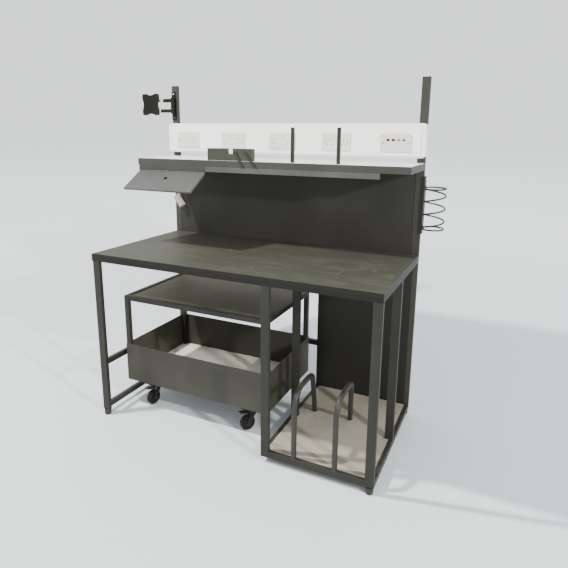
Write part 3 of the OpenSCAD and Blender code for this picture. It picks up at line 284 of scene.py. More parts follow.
def rubbery(name, look):
    # wheel tread: fine mould grain and dust
    f = Finish(name, {"Specular IOR Level": 0.3})
    grain = f.noise(treadFace["grainScale"], 3, 0.6)
    dusty = f.noise(treadFace["dustScale"], 5, 0.65).step(0.5, 0.75) * look["dust"]
    base = f.ground(f.noise(treadFace["cloudScale"], 4, 0.6).step(0.3, 0.7), look)
    base = f.over(base, dusty, look["dustShade"])
    return f.wear(base, 0.66 + grain * 0.12 + dusty * 0.1, f.relief(grain, treadFace["grainDepth"]))


paint = coated("oliveGreyCoat", {
    "dark": (36, 35, 29), "light": (43, 42, 36), "dust": 0.3, "dustShade": (68, 67, 60), "rub": 0.5,
    "rubShade": (98, 98, 91), "marks": 0.1, "markShade": (104, 103, 95)})
# painted light: a lighter copy of the frame coat for the uprights, making up for the shade they stand in
uprightPaintPaintedLight = coated("uprightCoatPaintedLight", {
    "dark": (50, 49, 42), "light": (60, 59, 51), "dust": 0.3, "dustShade": (80, 79, 70), "rub": 0.5,
    "rubShade": (98, 98, 91), "marks": 0.1, "markShade": (104, 103, 95)})
# painted shade: a darker copy of the frame coat for the rails under the worktop
railPaintPaintedShade = coated("railCoatPaintedShade", {
    "dark": (25, 24, 20), "light": (32, 31, 27), "dust": 0.3, "dustShade": (58, 57, 50), "gloss": 0.16,
    "rub": 0.5, "rubShade": (78, 77, 71), "marks": 0.12, "markShade": (94, 92, 84)})
sheetPaint = coated("sheetCoat", {
    "dark": (52, 51, 43), "light": (61, 60, 51), "dust": 0.35, "dustShade": (80, 79, 71), "rub": 0.5,
    "rubShade": (100, 100, 93), "marks": 0.14, "markShade": (104, 103, 96), "streak": (0.3, 1, 1)})
shelfPaint = coated("shelfCoat", {
    "dark": (51, 52, 48), "light": (61, 62, 58), "dust": 0.3, "dustShade": (88, 88, 82), "rub": 0.55,
    "rubShade": (112, 112, 106), "marks": 0.16, "markShade": (108, 108, 102), "streak": (0.3, 1, 1)})
prongPaint = coated("prongCoat", {
    "dark": (34, 36, 33), "light": (44, 46, 42), "dust": 0.2, "dustShade": (74, 74, 68), "rub": 0.7,
    "rubShade": (104, 104, 98), "marks": 0.1, "markShade": (84, 84, 78)})
hoopPaint = coated("hoopCoat", {
    "dark": (35, 35, 30), "light": (45, 45, 39), "dust": 0.2, "dustShade": (76, 75, 68), "rub": 0.4,
    "rubShade": (98, 98, 91), "marks": 0.3, "markShade": (96, 95, 88), "gloss": 0.34, "matt": -0.08})
panelPaint = coated("panelCoat", {
    "dark": (43, 42, 36), "light": (52, 51, 44), "dust": 0.1, "dustShade": (68, 66, 57), "rub": 0.4,
    "rubShade": (90, 90, 83), "marks": 0.2, "markShade": (92, 91, 84), "matt": 0.1, "streak": (1, 1, 0.3)})
# painted shade: a darker copy of the back panel coat for the panel deep behind the pedestal
lowerPanelPaintedShade = coated("lowerPanelCoatPaintedShade", {
    "dark": (29, 28, 23), "light": (36, 35, 29), "dust": 0.1, "dustShade": (56, 55, 49), "rub": 0.4,
    "rubShade": (78, 78, 72), "marks": 0.2, "markShade": (70, 69, 63), "matt": 0.12, "streak": (1, 1, 0.3)})
greySheet = coated("greySheetCoat", {
    "dark": (69, 70, 68), "light": (80, 81, 79), "dust": 0.12, "dustShade": (104, 103, 98), "rub": 0.45,
    "rubShade": (120, 120, 116), "marks": 0.12, "markShade": (116, 116, 111)})
blackPaint = coated("blackCoat", {
    "dark": (28, 28, 26), "light": (38, 38, 36), "dust": 0.2, "dustShade": (62, 61, 57), "rub": 0.5,
    "rubShade": (88, 88, 84), "marks": 0.08, "markShade": (80, 80, 76)})
worktopSkin = laminate("worktopLaminate", {
    "dark": (60, 60, 52), "light": (69, 69, 60), "fleck": (80, 79, 70), "wipe": 0.34,
    "dustShade": (92, 90, 80), "edge": (104, 103, 95), "mark": (116, 114, 106), "paintedSideShade": (27, 26, 22),
    "rough": 0.5})
# painted shade: a darker copy of the pale board for the trolley's top, standing in for the worktop's shade on
# it
topBoardPaintedShade = facedBoard("trolleyTopBoardPaintedShade", {
    "dark": (97, 92, 67), "light": (113, 108, 83), "fibre": (88, 79, 62), "core": (84, 70, 50),
    "stain": (86, 78, 62), "scuff": (70, 65, 56)})
# painted light: a brighter copy of the pale board for the tray floor, standing in for the light that falls on
# it
trayBoardPaintedLight = facedBoard("trayFloorBoardPaintedLight", {
    "dark": (206, 200, 184), "light": (226, 221, 208), "fibre": (190, 176, 152), "core": (124, 102, 74),
    "stain": (154, 142, 120), "scuff": (104, 97, 86)})
paleBoard = facedBoard("paleBoard", {
    "dark": (130, 125, 110), "light": (152, 147, 133), "fibre": (126, 112, 90), "core": (112, 92, 66),
    "stain": (124, 112, 92), "scuff": (92, 85, 74)})
whiteMould = moulded("whiteMoulding", {
    "dark": (238, 237, 233), "light": (246, 246, 243), "rough": 0.34, "grime": 0.25, "haze": 0.06,
    "hazeShade": (220, 216, 208)})
lidMould = moulded("whiteLid", {
    "dark": (244, 243, 240), "light": (250, 250, 248), "rough": 0.28, "grime": 0.3, "haze": 0.05,
    "hazeShade": (226, 222, 214)})
whiteGloss = moulded("whiteFaceplate", {
    "dark": (214, 208, 203), "light": (227, 222, 218), "rough": 0.24, "grime": 0.4, "haze": 0.1,
    "hazeShade": (206, 199, 190), "gloss": 0.5})
linerSkin = moulded("whiteLiner", {
    "dark": (236, 237, 235), "light": (247, 248, 247), "rough": 0.26, "grime": 0.3, "haze": 0.2,
    "hazeShade": (206, 204, 196)})
frosted = moulded("frostedDiffuser", {
    "dark": (214, 216, 212), "light": (228, 230, 226), "rough": 0.5, "haze": 0.1,
    "hazeShade": (190, 190, 184)})
bracketSkin = moulded("bracketCoat", {
    "dark": (20, 19, 16), "light": (28, 27, 23), "rough": 0.62, "grime": 0.3, "grimeShade": (58, 56, 50),
    "haze": 0.25, "hazeShade": (44, 42, 37), "gloss": 0.12, "depth": 0.00008})
blackMould = moulded("blackMoulding", {
    "dark": (26, 26, 25), "light": (36, 36, 34), "rough": 0.46, "grime": 0.35, "grimeShade": (66, 64, 60),
    "haze": 0.3, "hazeShade": (54, 53, 49), "depth": 0.00008})
hubMould = moulded("wheelHub", {
    "dark": (22, 22, 20), "light": (31, 30, 27), "gloss": 0.25, "rough": 0.4, "grime": 0.4,
    "grimeShade": (30, 29, 27), "haze": 0.35, "hazeShade": (52, 50, 45)})
pegMould = moulded("paleMoulding", {
    "dark": (160, 156, 139), "light": (184, 181, 166), "rough": 0.46, "grime": 0.4,
    "grimeShade": (112, 106, 92), "haze": 0.3, "hazeShade": (132, 127, 114)})
zinc = plated("zincPlate", {
    "dark": (120, 121, 118), "light": (150, 151, 148), "rough": 0.34, "spangle": 240})
dullZinc = plated("dullZincPlate", {
    "dark": (64, 63, 60), "light": (90, 89, 85), "rough": 0.5, "spangle": 260, "dullShade": (58, 56, 52)})
forkPlate = plated("darkZincPlate", {
    "dark": (60, 60, 57), "light": (86, 86, 82), "rough": 0.38, "spangle": 220, "dullShade": (66, 65, 60)})
bright = plated("brightPlate", {
    "dark": (196, 196, 194), "light": (222, 222, 220), "rough": 0.16, "spangle": 160, "dull": 0.15})
tread = rubbery("wheelTread", {
    "dark": (14, 13, 12), "light": (22, 21, 19), "dust": 0.12, "dustShade": (74, 71, 65)})
wireCoat = moulded("coatedWire", {
    "dark": (38, 40, 43), "light": (52, 54, 57), "rough": 0.34, "haze": 0.2, "hazeShade": (84, 84, 82),
    "grime": 0.0})
# painted shade: a near-black finish for holes and wells
shadowed = moulded("shadowedCavity", {
    "dark": (18, 18, 17), "light": (26, 25, 24), "rough": 0.8, "grime": 0.0, "gloss": 0.05, "haze": 0.0})
shutter = moulded("socketShutter", {
    "dark": (140, 124, 120), "light": (160, 146, 142), "rough": 0.5, "grime": 0.2})
portShades = {"red": (150, 44, 84), "blue": (84, 92, 146), "yellow": (222, 212, 128),
              "green": (160, 182, 138)}
portMoulds = [moulded("port" + label.capitalize(), {"dark": tuple(v - 14 for v in tone), "light": tone,
                                                    "rough": 0.4, "haze": 0.1})
              for label, tone in portShades.items()]
print("finishes ready:", len(bpy.data.materials))


# mesh kit
softening = {"joinReach": 0.000004, "flatAngle": 0.4, "segments": 2, "packedAngle": 38, "shadeWeight": 80,
             "madeAngle": 42}


def softenEdges(piece, width, angle):
    soft = piece.modifiers.new("softEdges", "BEVEL")
    soft.width = width / 1000
    soft.segments = softening["segments"]
    soft.limit_method = "ANGLE"
    soft.angle_limit = math.radians(angle)


def rounded(piece, width):
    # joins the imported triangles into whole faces, then softens every hard edge
    joined = piece.modifiers.new("join", "WELD")
    joined.merge_threshold = softening["joinReach"]
    flat = piece.modifiers.new("wholeFaces", "DECIMATE")
    flat.decimate_type = "DISSOLVE"
    flat.angle_limit = math.radians(softening["flatAngle"])
    softenEdges(piece, width, softening["packedAngle"])
    shading = piece.modifiers.new("evenShading", "WEIGHTED_NORMAL")
    shading.keep_sharp = True
    shading.weight = softening["shadeWeight"]


def newPiece(name, bm, finishes, body, standsFor=(), edge=0.0, smoothAngle=35):
    bmesh.ops.recalc_face_normals(bm, faces=bm.faces)
    mesh = bpy.data.meshes.new(name)
    bm.to_mesh(mesh)
    bm.free()
    for finish in finishes:
        mesh.materials.append(finish)
    mesh.polygons.foreach_set("use_smooth", [True] * len(mesh.polygons))
    mesh.set_sharp_from_angle(angle=math.radians(smoothAngle))
    piece = bpy.data.objects.new(name, mesh)
    bpy.context.scene.collection.objects.link(piece)
    if edge:
        softenEdges(piece, edge, softening["madeAngle"])
    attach(piece, body)
    if standsFor:
        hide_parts(*standsFor)


def ringOf(bm, points):
    return [bm.verts.new(p) for p in points]


def addFace(bm, corners, tint=0):
    bm.faces.new(corners).material_index = tint


def joinRings(bm, first, second, tint=0):
    count = len(first)
    for j in range(count):
        k = (j + 1) % count
        addFace(bm, (first[j], first[k], second[k], second[j]), tint)


def addBlock(bm, low, high):
    corners = [bm.verts.new((x, y, z))
               for x in (low.x, high.x) for y in (low.y, high.y) for z in (low.z, high.z)]
    for picks in ((0, 1, 3, 2), (4, 6, 7, 5), (0, 4, 5, 1), (2, 3, 7, 6), (0, 2, 6, 4), (1, 5, 7, 3)):
        addFace(bm, [corners[k] for k in picks])


def circle(spot, side, up, size, count):        # size in metres
    turns = [2 * math.pi * k / count for k in range(count)]
    return [spot + (side * math.cos(a) + up * math.sin(a)) * size for a in turns]


def squareTo(way):        # two directions square to way and to each other
    side = way.orthogonal().normalized()
    return side, way.cross(side)


def addTurned(bm, centre, way, profile, steps=32, tint=0, tintOf=None):
    # turned shape with open ends: profile is (distance along way, radius) in mm
    way = way.normalized()
    side, up = squareTo(way)
    rings = [ringOf(bm, circle(centre + way * (along / 1000), side, up, radius / 1000, steps))
             for along, radius in profile]
    for k in range(len(rings) - 1):
        joinRings(bm, rings[k], rings[k + 1], tintOf(k) if tintOf else tint)
    return rings


def addKnob(bm, centre, way, profile, steps=32, tint=0):        # turned shape with closed ends
    rings = addTurned(bm, centre, way, profile, steps, tint)
    addFace(bm, rings[0], tint)
    addFace(bm, rings[-1], tint)


def addPrism(bm, outline, depth, tint=0):
    # a flat outline pushed along depth
    front = ringOf(bm, outline)
    back = ringOf(bm, [p + depth for p in outline])
    joinRings(bm, front, back, tint)
    addFace(bm, front, tint)
    addFace(bm, back, tint)


def sweptRings(path, radius, sides, swell=None):
    # round cross-sections carried along a path without twisting
    rings = []
    way = (path[1] - path[0]).normalized()
    side = squareTo(way)[0]
    for k, spot in enumerate(path):
        ahead = (path[min(k + 1, len(path) - 1)] - path[max(k - 1, 0)]).normalized()
        side = way.rotation_difference(ahead) @ side
        way = ahead
        size = radius / 1000 * (swell(k) if swell else 1)
        rings.append(circle(spot, side, way.cross(side), size, sides))
    return rings


def joinChain(bm, rings):
    for first, second in zip(rings, rings[1:]):
        joinRings(bm, first, second)


def addRod(bm, rings):
    made = [ringOf(bm, ring) for ring in rings]
    joinChain(bm, made)
    addFace(bm, made[0])
    addFace(bm, made[-1])


def addPipe(bm, outerRings, innerRings):
    outer = [ringOf(bm, ring) for ring in outerRings]
    inner = [ringOf(bm, ring) for ring in innerRings]
    joinChain(bm, outer)
    joinChain(bm, inner)
    joinRings(bm, outer[0], inner[0])
    joinRings(bm, outer[-1], inner[-1])


def addPerforated(bm, corner, size, thickness, wells, tint=0, wellTint=1):
    # a plate that stands in X and Z, front face at corner.y, with square wells
    # wells: (x0, z0, x1, z1, depth) in mm from the corner
    xs = sorted({0, size[0]} | {v for well in wells for v in (well[0], well[2])})
    zs = sorted({0, size[1]} | {v for well in wells for v in (well[1], well[3])})
    dots = {}

    def dot(i, j, depth):
        if (i, j, depth) not in dots:
            dots[i, j, depth] = bm.verts.new(corner + Vector((xs[i], depth, zs[j])) / 1000)
        return dots[i, j, depth]

    def depthOf(i, j):        # the whole thickness outside the plate
        if not (0 <= i < len(xs) - 1 and 0 <= j < len(zs) - 1):
            return thickness
        x, z = (xs[i] + xs[i + 1]) / 2, (zs[j] + zs[j + 1]) / 2
        for x0, z0, x1, z1, depth in wells:
            if x0 < x < x1 and z0 < z < z1:
                return depth
        return 0

    for i in range(len(xs) - 1):
        for j in range(len(zs) - 1):
            depth = depthOf(i, j)
            addFace(bm, [dot(i + a, j + b, depth) for a, b in ((0, 0), (1, 0), (1, 1), (0, 1))],
                    wellTint if depth else tint)
            addFace(bm, [dot(i + a, j + b, thickness) for a, b in ((0, 0), (0, 1), (1, 1), (1, 0))], tint)
            for di, dj, a, b in ((1, 0, (1, 0), (1, 1)), (-1, 0, (0, 1), (0, 0)), (0, 1, (1, 1), (0, 1)),
                                 (0, -1, (0, 0), (1, 0))):
                beside = depthOf(i + di, j + dj)
                if beside > depth:
                    addFace(bm, (dot(i + a[0], j + a[1], depth), dot(i + b[0], j + b[1], depth),
                                 dot(i + b[0], j + b[1], beside), dot(i + a[0], j + a[1], beside)), tint)
    return set(dots.values())


slotted = {"gapAngle": math.asin(0.09), "sides": 24, "chamfer": 0.15, "halfSteps": 12, "halfInset": 0.1}


def addSlotted(bm, centre, way, across, thick):
    # slotted screw head: a disc with two raised halves
    side, up = squareTo(way)
    radius = across / 2
    disc = [(-0.1, radius), (thick * 0.45, radius), (thick * 0.5, radius - slotted["chamfer"])]
    addKnob(bm, centre, way, disc, slotted["sides"])
    first, last = slotted["gapAngle"], math.pi - slotted["gapAngle"]
    turns = [first + (last - first) * k / slotted["halfSteps"] for k in range(slotted["halfSteps"] + 1)]
    foot = centre + way * (thick * 0.4 / 1000)
    reach = (radius - slotted["halfInset"]) / 1000
    for flip, part in ((1, turns), (-1, turns[::-1])):
        addPrism(bm, [foot + (side * math.cos(a) + up * math.sin(a) * flip) * reach for a in part],
                 way * (thick * 0.6 / 1000))


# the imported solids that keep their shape
dressing = [
    (paint, 1.6, "left_end_frame", "pedestal_front_frame", "rear_rails"),
    (paint, 1.4, "pedestal_left_side", "pedestal_right_side"), (paint, 1.5, "trolley_frame"),
    # the uprights' lighter coat is painted light
    # the worktop frame's darker coat is painted shade
    (paint, 1.0, "shelf_divider_posts"), (uprightPaintPaintedLight, 1.6, "uprights"), (railPaintPaintedShade, 1.6, "worktop_frame"),
    (worktopSkin, 1.6, "worktop"), (blackMould, 2.0, "tube_caps"),
    (blackMould, 0.9, "left_brake_pedal", "right_brake_pedal"), (paleBoard, 0.6, "pedestal_base_board"),
    # the pedestal back panel's darker coat is painted shade
    (lowerPanelPaintedShade, 0.8, "pedestal_back_panel"), (panelPaint, 0.6, "upper_back_panel"),
    (shelfPaint, 1.4, "overhead_shelf"), (shelfPaint, 0.7, "flap_hinge"), (linerSkin, 0.5, "shelf_liner"),
    (greySheet, 0.8, "light_bar"), (greySheet, 0.6, "tilting_flap"), (frosted, 0.8, "light_diffuser"),
    (whiteMould, 0.9, "trunking_base", "trunking_end_caps"), (lidMould, 0.6, "trunking_covers"),
    (zinc, 0.3, "back_boxes"), (bracketSkin, 0.7, "screen_wall_plate"), (bracketSkin, 0.9, "screen_plate"),
    (bracketSkin, 1.2, "screen_arm"), (bright, 0.8, "tilt_shaft"), (blackPaint, 1.0, "coil_bar"),
    # the trolley top's darker board is painted shade
    (pegMould, 1.2, "tool_peg"), (topBoardPaintedShade, 0.6, "trolley_top_board"), (sheetPaint, 0.6, "trolley_tray"),
    # the tray floor's brighter board is painted light
    (trayBoardPaintedLight, 0.6, "tray_floor_board"),
    (forkPlate, 0.6, "front_castor_plates", "rear_castor_forks", "left_castor_fork", "right_castor_fork"),
    (whiteGloss, 0.5, *(name for name in solids if name.startswith("switch_")))]
for finish, edge, *names in dressing:
    for name in names:
        solid = solids[name]
        if not solid.material_slots:
            solid.data.materials.append(finish)
        for place in solid.material_slots:
            place.material = finish
        rounded(solid, edge)
print("solids dressed:", sum(len(row) - 2 for row in dressing))

# divider hoops
hoops = {"first": 1125.0, "pitch": 195.0, "count": 2, "y": 12.5, "z": 60.0, "across": 25.0, "wall": 2.0,
         "rise": 337.0, "bend": 90.0, "run": 75.0, "slope": 57.0, "lean": 11.0, "sides": 32,
         "bendSteps": 14, "beadRing": 12.8, "beadRadius": 1.9, "beadSteps": 40, "beadSides": 8,
         "beadRipple": 0.22, "beadPhase": 2.1}


def hoopPath(x):
    # the middle line, and the direction of its last leg
    bend, steps = hoops["bend"], hoops["bendSteps"]
    leg = hoops["rise"] - hoops["across"] / 2 - bend
    path = [Vector((0, 0, leg * k / 4)) for k in range(4)]
    for k in range(steps + 1):
        a = math.radians(90 * k / steps)
        path.append(Vector((0, bend * (1 - math.cos(a)), leg + bend * math.sin(a))))
    lean = Matrix.Rotation(math.radians(hoops["lean"]), 3, "Y")
    start = Vector((0, bend + hoops["run"], leg + bend))
    for k in range(steps + 1):
        b = math.radians(hoops["slope"] * k / steps)
        path.append(start + lean @ Vector((0, bend * math.sin(b), bend * (math.cos(b) - 1))))
    slope = math.radians(hoops["slope"])
    way = lean @ Vector((0, math.cos(slope), -math.sin(slope)))
    path.append(path[-1] - way * (path[-1].z / way.z))
    foot = mm(x, hoops["y"], hoops["z"])
    return [foot + p / 1000 for p in path], way


def grounded(ring, way, level):        # the ring pushed along way to the height level
    return [p - way * ((p.z - level) / way.z) for p in ring]


def beadSwell(k):
    return 1 + hoops["beadRipple"] * math.sin(k * hoops["beadPhase"])


bm = bmesh.new()
for number in range(hoops["count"]):
    path, way = hoopPath(hoops["first"] + number * hoops["pitch"])
    outer = sweptRings(path, hoops["across"] / 2, hoops["sides"])
    inner = sweptRings(path, hoops["across"] / 2 - hoops["wall"], hoops["sides"])
    for rings in (outer, inner):
        rings[0] = grounded(rings[0], Vector((0, 0, 1)), path[0].z)
        rings[-1] = grounded(rings[-1], way, path[0].z)
    addPipe(bm, outer, inner)
    # a weld bead round the front leg on its rail
    bead = circle(path[0], Vector((1, 0, 0)), Vector((0, 1, 0)), hoops["beadRing"] / 1000, hoops["beadSteps"])
    beadRings = sweptRings(bead + [bead[0]], hoops["beadRadius"], hoops["beadSides"], beadSwell)
    made = [ringOf(bm, ring) for ring in beadRings[:-1]]
    for k in range(len(made)):
        joinRings(bm, made[k], made[(k + 1) % len(made)])
newPiece("dividerHoopTubes", bm, [hoopPaint], "bench", ["divider_hoops"])
print("hoops made")

# wire coil on the right upright
coil = {"x": 1560.4, "y": 725.0, "top": 1246.0, "radius": 47.9, "wire": 8.2, "openPitch": 64.0,
        "openTurns": 3, "endPitch": 8.0, "perTurn": 48, "sides": 14,
        "softReach": (-0.06, -0.03, 0, 0.03, 0.06),
        "tip": [(-0.4, 4.05), (0.6, 3.8), (1.7, 2.9), (2.4, 1.2)]}


def coilDrop(turn):        # a close turn, the open turns and another close turn
    opened = min(max(turn - 1, 0), coil["openTurns"])
    return opened * coil["openPitch"] + (turn - opened) * coil["endPitch"]


turns = coil["openTurns"] + 2
path = []
for k in range(turns * coil["perTurn"] + 1):
    turn = k / coil["perTurn"]
    drop = sum(coilDrop(min(max(turn + d, 0), turns)) for d in coil["softReach"]) / len(coil["softReach"])
    a = math.pi - 2 * math.pi * turn
    path.append(mm(coil["x"] + coil["radius"] * math.cos(a), coil["y"] + coil["radius"] * math.sin(a),
                   coil["top"] - drop))
bm = bmesh.new()
addRod(bm, sweptRings(path, coil["wire"] / 2, coil["sides"]))
for spot, beside in ((path[0], path[1]), (path[-1], path[-2])):        # rounded wire ends
    addKnob(bm, spot, spot - beside, coil["tip"], coil["sides"])
newPiece("coilWire", bm, [wireCoat], "bench", ["wire_coil"])
print("coil made")

# faceplates
plates = {"sockets": 4, "width": 146.0, "height": 86.0, "thick": 9.0, "corner": 4.0, "cornerSteps": 5,
          "rockerWidth": 11.0, "rockerHeight": 18.0, "rockerPitch": 26.0, "rockerRise": 19.0,
          "wellGap": 0.6, "wellFloor": 0.4, "outletPitch": 78.0, "earthRise": 10.0, "earthSlot": (4.6, 8.6),
          "liveDrop": 12.2, "pinSlot": (7.0, 4.6), "pinSpread": 22.2, "pinDepth": 6.5, "screwPitch": 120.6,
          "screwHead": 7.0, "screwThick": 1.2, "screwShank": 1.75}
plateLow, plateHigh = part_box("socket_plates")
dataLow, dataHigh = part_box("data_plate")
firstPlate = plateLow.x + plates["width"] / 2000
lastPlate = (dataLow.x + dataHigh.x) / 2
plateStep = (lastPlate - firstPlate) / plates["sockets"]
plateMiddles = [firstPlate + number * plateStep for number in range(plates["sockets"] + 1)]


def cornerEdges(bm, dots):        # the four short edges at a plate's corners
    xs, zs = ([v.co[axis] for v in dots] for axis in (0, 2))
    corners = {(x, z) for x in (min(xs), max(xs)) for z in (min(zs), max(zs))}
    ends = [{(v.co.x, v.co.z) for v in e.verts} if dots.issuperset(e.verts) else set() for e in bm.edges]
    return [e for e, spots in zip(bm.edges, ends) if len(spots) == 1 and spots <= corners]


def faceplate(bm, centreX, wells):
    corner = Vector((centreX - plates["width"] / 2000, plateLow.y, plateLow.z))
    dots = addPerforated(bm, corner, (plates["width"], plates["height"]), plates["thick"], wells)
    bmesh.ops.bevel(bm, geom=cornerEdges(bm, dots), offset=plates["corner"] / 1000,
                    segments=plates["cornerSteps"], profile=0.5, affect="EDGES")


def wellAt(x, z, size, depth):        # x and z from the plate's middle to the well's middle
    x0, z0 = (plates["width"] - size[0]) / 2 + x, (plates["height"] - size[1]) / 2 + z
    return x0, z0, x0 + size[0], z0 + size[1], depth


rockerWell = (plates["rockerWidth"] + 2 * plates["wellGap"], plates["rockerHeight"] + 2 * plates["wellGap"])
bm = bmesh.new()
for centreX in plateMiddles[:-1]:
    wells = []
    for side in (-1, 1):
        wells.append(wellAt(side * plates["rockerPitch"] / 2, plates["rockerRise"], rockerWell,
                            plates["thick"] - plates["wellFloor"]))
        outletX = side * plates["outletPitch"] / 2
        wells.append(wellAt(outletX, plates["earthRise"], plates["earthSlot"], plates["pinDepth"]))
        for pinX in (outletX - plates["pinSpread"] / 2, outletX + plates["pinSpread"] / 2):
            wells.append(wellAt(pinX, -plates["liveDrop"], plates["pinSlot"], plates["pinDepth"]))
    faceplate(bm, centreX, wells)
newPiece("socketFaces", bm, [whiteGloss, shutter], "bench", ["socket_plates"], edge=0.5)

ports = {"count": 4, "pitch": 26.0, "width": 16.0, "height": 12.0, "rise": 9.0, "depth": 6.0, "play": 0.05,
         "jackDepth": 4.8, "jackSeat": 1.0, "holeInset": 3.0, "holeFoot": 2.4, "holeTop": 8.2,
         "keyInset": 5.6, "keyTop": 9.8, "holeDepth": 3.6}
portMiddles = [(k - (ports["count"] - 1) / 2) * ports["pitch"] for k in range(ports["count"])]
bm = bmesh.new()
faceplate(bm, lastPlate, [wellAt(x, ports["rise"] + ports["height"] / 2, (ports["width"], ports["height"]),
                                 ports["depth"]) for x in portMiddles])
newPiece("dataFace", bm, [whiteGloss, whiteGloss], "bench", ["data_plate"], edge=0.5)

bm = bmesh.new()
jackSize = (ports["width"] - 2 * ports["play"], ports["height"] - 2 * ports["play"])
jackWells = [(inset, z0, jackSize[0] - inset, z1, ports["holeDepth"])
             for inset, z0, z1 in ((ports["holeInset"], ports["holeFoot"], ports["holeTop"]),
                                   (ports["keyInset"], ports["holeTop"], ports["keyTop"]))]
for tint, x in enumerate(portMiddles):
    corner = Vector((lastPlate + (x - jackSize[0] / 2) / 1000, plateLow.y + ports["jackSeat"] / 1000,
                     plateLow.z + (plates["height"] / 2 + ports["rise"] + ports["play"]) / 1000))
    addPerforated(bm, corner, jackSize, ports["jackDepth"], jackWells, tint, ports["count"])
newPiece("dataJacks", bm, portMoulds + [shadowed], "bench", ["data_ports"], edge=0.25)

bm = bmesh.new()
screwZ = (plateLow.z + plateHigh.z) / 2
shank = [(0, plates["screwShank"]), (plates["thick"], plates["screwShank"])]
for centreX in plateMiddles:
    for side in (-1, 1):
        spot = Vector((centreX + side * plates["screwPitch"] / 2000, plateLow.y, screwZ))
        addSlotted(bm, spot, Vector((0, -1, 0)), plates["screwHead"], plates["screwThick"])
        addKnob(bm, spot, Vector((0, 1, 0)), shank, 12)
newPiece("faceplateScrewHeads", bm, [zinc], "bench", ["faceplate_screws"], edge=0.12)
print("faceplates made")

# fixings of the screen bracket and the coil bar
fixings = {"domed": [(0, 5.5), (1.2, 5.5), (2.4, 5.0), (3.4, 3.8), (4.0, 2.0)], "sides": 28, "inset": 12.0,
           "shank": 3.0, "shankSides": 16, "wallX": 15.0, "wallSeat": 4.0, "wallShank": 4, "barShank": 8}
wallLow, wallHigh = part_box("screen_wall_plate")
barLow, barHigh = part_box("coil_bar")


def addDomed(bm, spot, way, shank, tint=0):
    addKnob(bm, spot, way, fixings["domed"], fixings["sides"], tint)
    addKnob(bm, spot, -way, [(0, fixings["shank"]), (shank, fixings["shank"])], fixings["shankSides"], tint)


def screwLevels(low, high):        # the upper one first
    return high.z - fixings["inset"] / 1000, low.z + fixings["inset"] / 1000


bm = bmesh.new()
wallSpot = benchCorner.x + fixings["wallX"] / 1000, wallHigh.y - fixings["wallSeat"] / 1000
for tint, z in enumerate(screwLevels(wallLow, wallHigh)):        # the lower one has gone dull
    addDomed(bm, Vector((*wallSpot, z)), Vector((0, -1, 0)), fixings["wallShank"], tint)
for z in screwLevels(barLow, barHigh):
    addDomed(bm, Vector((barHigh.x, (barLow.y + barHigh.y) / 2, z)), Vector((1, 0, 0)), fixings["barShank"])
newPiece("bracketScrewHeads", bm, [bright, dullZinc], "bench", ["bracket_screws"])

# levelling feet: black boots up to the tubes, and the plugs in the tubes
feet = {"x": (20.0, 1480.0), "y": (10.0, 725.0), "gap": 30.0, "plug": 22.0, "plugHalf": (17.9, 7.9),
        "sides": 40, "boot": [(0, 12.5), (0.8, 14.6), (2.5, 16.2), (6.0, 17.4), (10.0, 17.9), (20.0, 17.9),
                              (24.0, 17.4), (28.0, 16.6), (29.6, 16.0)]}
halfX, halfY = feet["plugHalf"]
bm = bmesh.new()
for x in feet["x"]:
    for y in feet["y"]:
        addKnob(bm, mm(x, y, 0), Vector((0, 0, 1)), feet["boot"], feet["sides"])
        addBlock(bm, mm(x - halfX, y - halfY, feet["gap"]),
                 mm(x + halfX, y + halfY, feet["gap"] + feet["plug"]))
newPiece("levellingFeetTurned", bm, [blackMould], "bench", ["levelling_feet"], edge=0.3)
print("feet made")

# castor wheels
wheel = {"half": [(-13.5, 4.06), (-13.5, 12.2), (-13.0, 13.0), (-9.6, 13.8), (-9.6, 28.4), (-11.4, 29.4),
                  (-12.7, 30.2), (-12.9, 31.6), (-13.2, 32.2), (-13.5, 33.4), (-13.3, 36.0), (-12.3, 38.2),
                  (-10.4, 39.4), (-6.0, 39.9), (0.0, 40.0)],
         "treadFrom": 7, "steps": 56, "ribs": 6, "ribHalf": 1.4, "ribSpan": (12.5, 29.2), "ribTaper": 0.8,
         "ribSeat": 9.0, "ribRise": 3.0}
wheelProfile = wheel["half"] + [(-x, radius) for x, radius in reversed(wheel["half"][:-1])]


def wheelTint(k):        # hub on both sides, tread between
    return 1 if wheel["treadFrom"] <= k < len(wheelProfile) - 1 - wheel["treadFrom"] else 0


def axisOf(jointName):
    return Vector(next(joint["axis"] for joint in frame["joints"] if joint["name"] == jointName)).normalized()


def buildWheel(name, body, solid):
    bm = bmesh.new()
    centre = middle(solid)
    axle = axisOf(solid + "_spin")
    upright = Vector((0, 0, 1))
    ahead = upright.cross(axle)
    rings = addTurned(bm, centre, axle, wheelProfile, wheel["steps"], tintOf=wheelTint)
    joinRings(bm, rings[0], rings[-1])
    near, far = (reach / 1000 for reach in wheel["ribSpan"])
    for k in range(wheel["ribs"]):
        a = 2 * math.pi * k / wheel["ribs"]
        out = ahead * math.cos(a) + upright * math.sin(a)
        across = (upright * math.cos(a) - ahead * math.sin(a)) * (wheel["ribHalf"] / 1000)
        for way in (-axle, axle):
            hub = centre + way * (wheel["ribSeat"] / 1000)
            start, end, narrow = hub + out * near, hub + out * far, across * wheel["ribTaper"]
            addPrism(bm, [start - across, end - narrow, end + narrow, start + across],
                     way * (wheel["ribRise"] / 1000))
    newPiece(name, bm, [hubMould, tread], body, [solid], edge=0.3, smoothAngle=30)


for side in ("left", "right"):
    buildWheel("frontWheel" + side.capitalize(), "wheel_front_" + side, "front_%s_wheel" % side)
    buildWheel("rearWheel" + side.capitalize(), "wheel_rear_" + side, "rear_%s_wheel" % side)
print("wheels made")

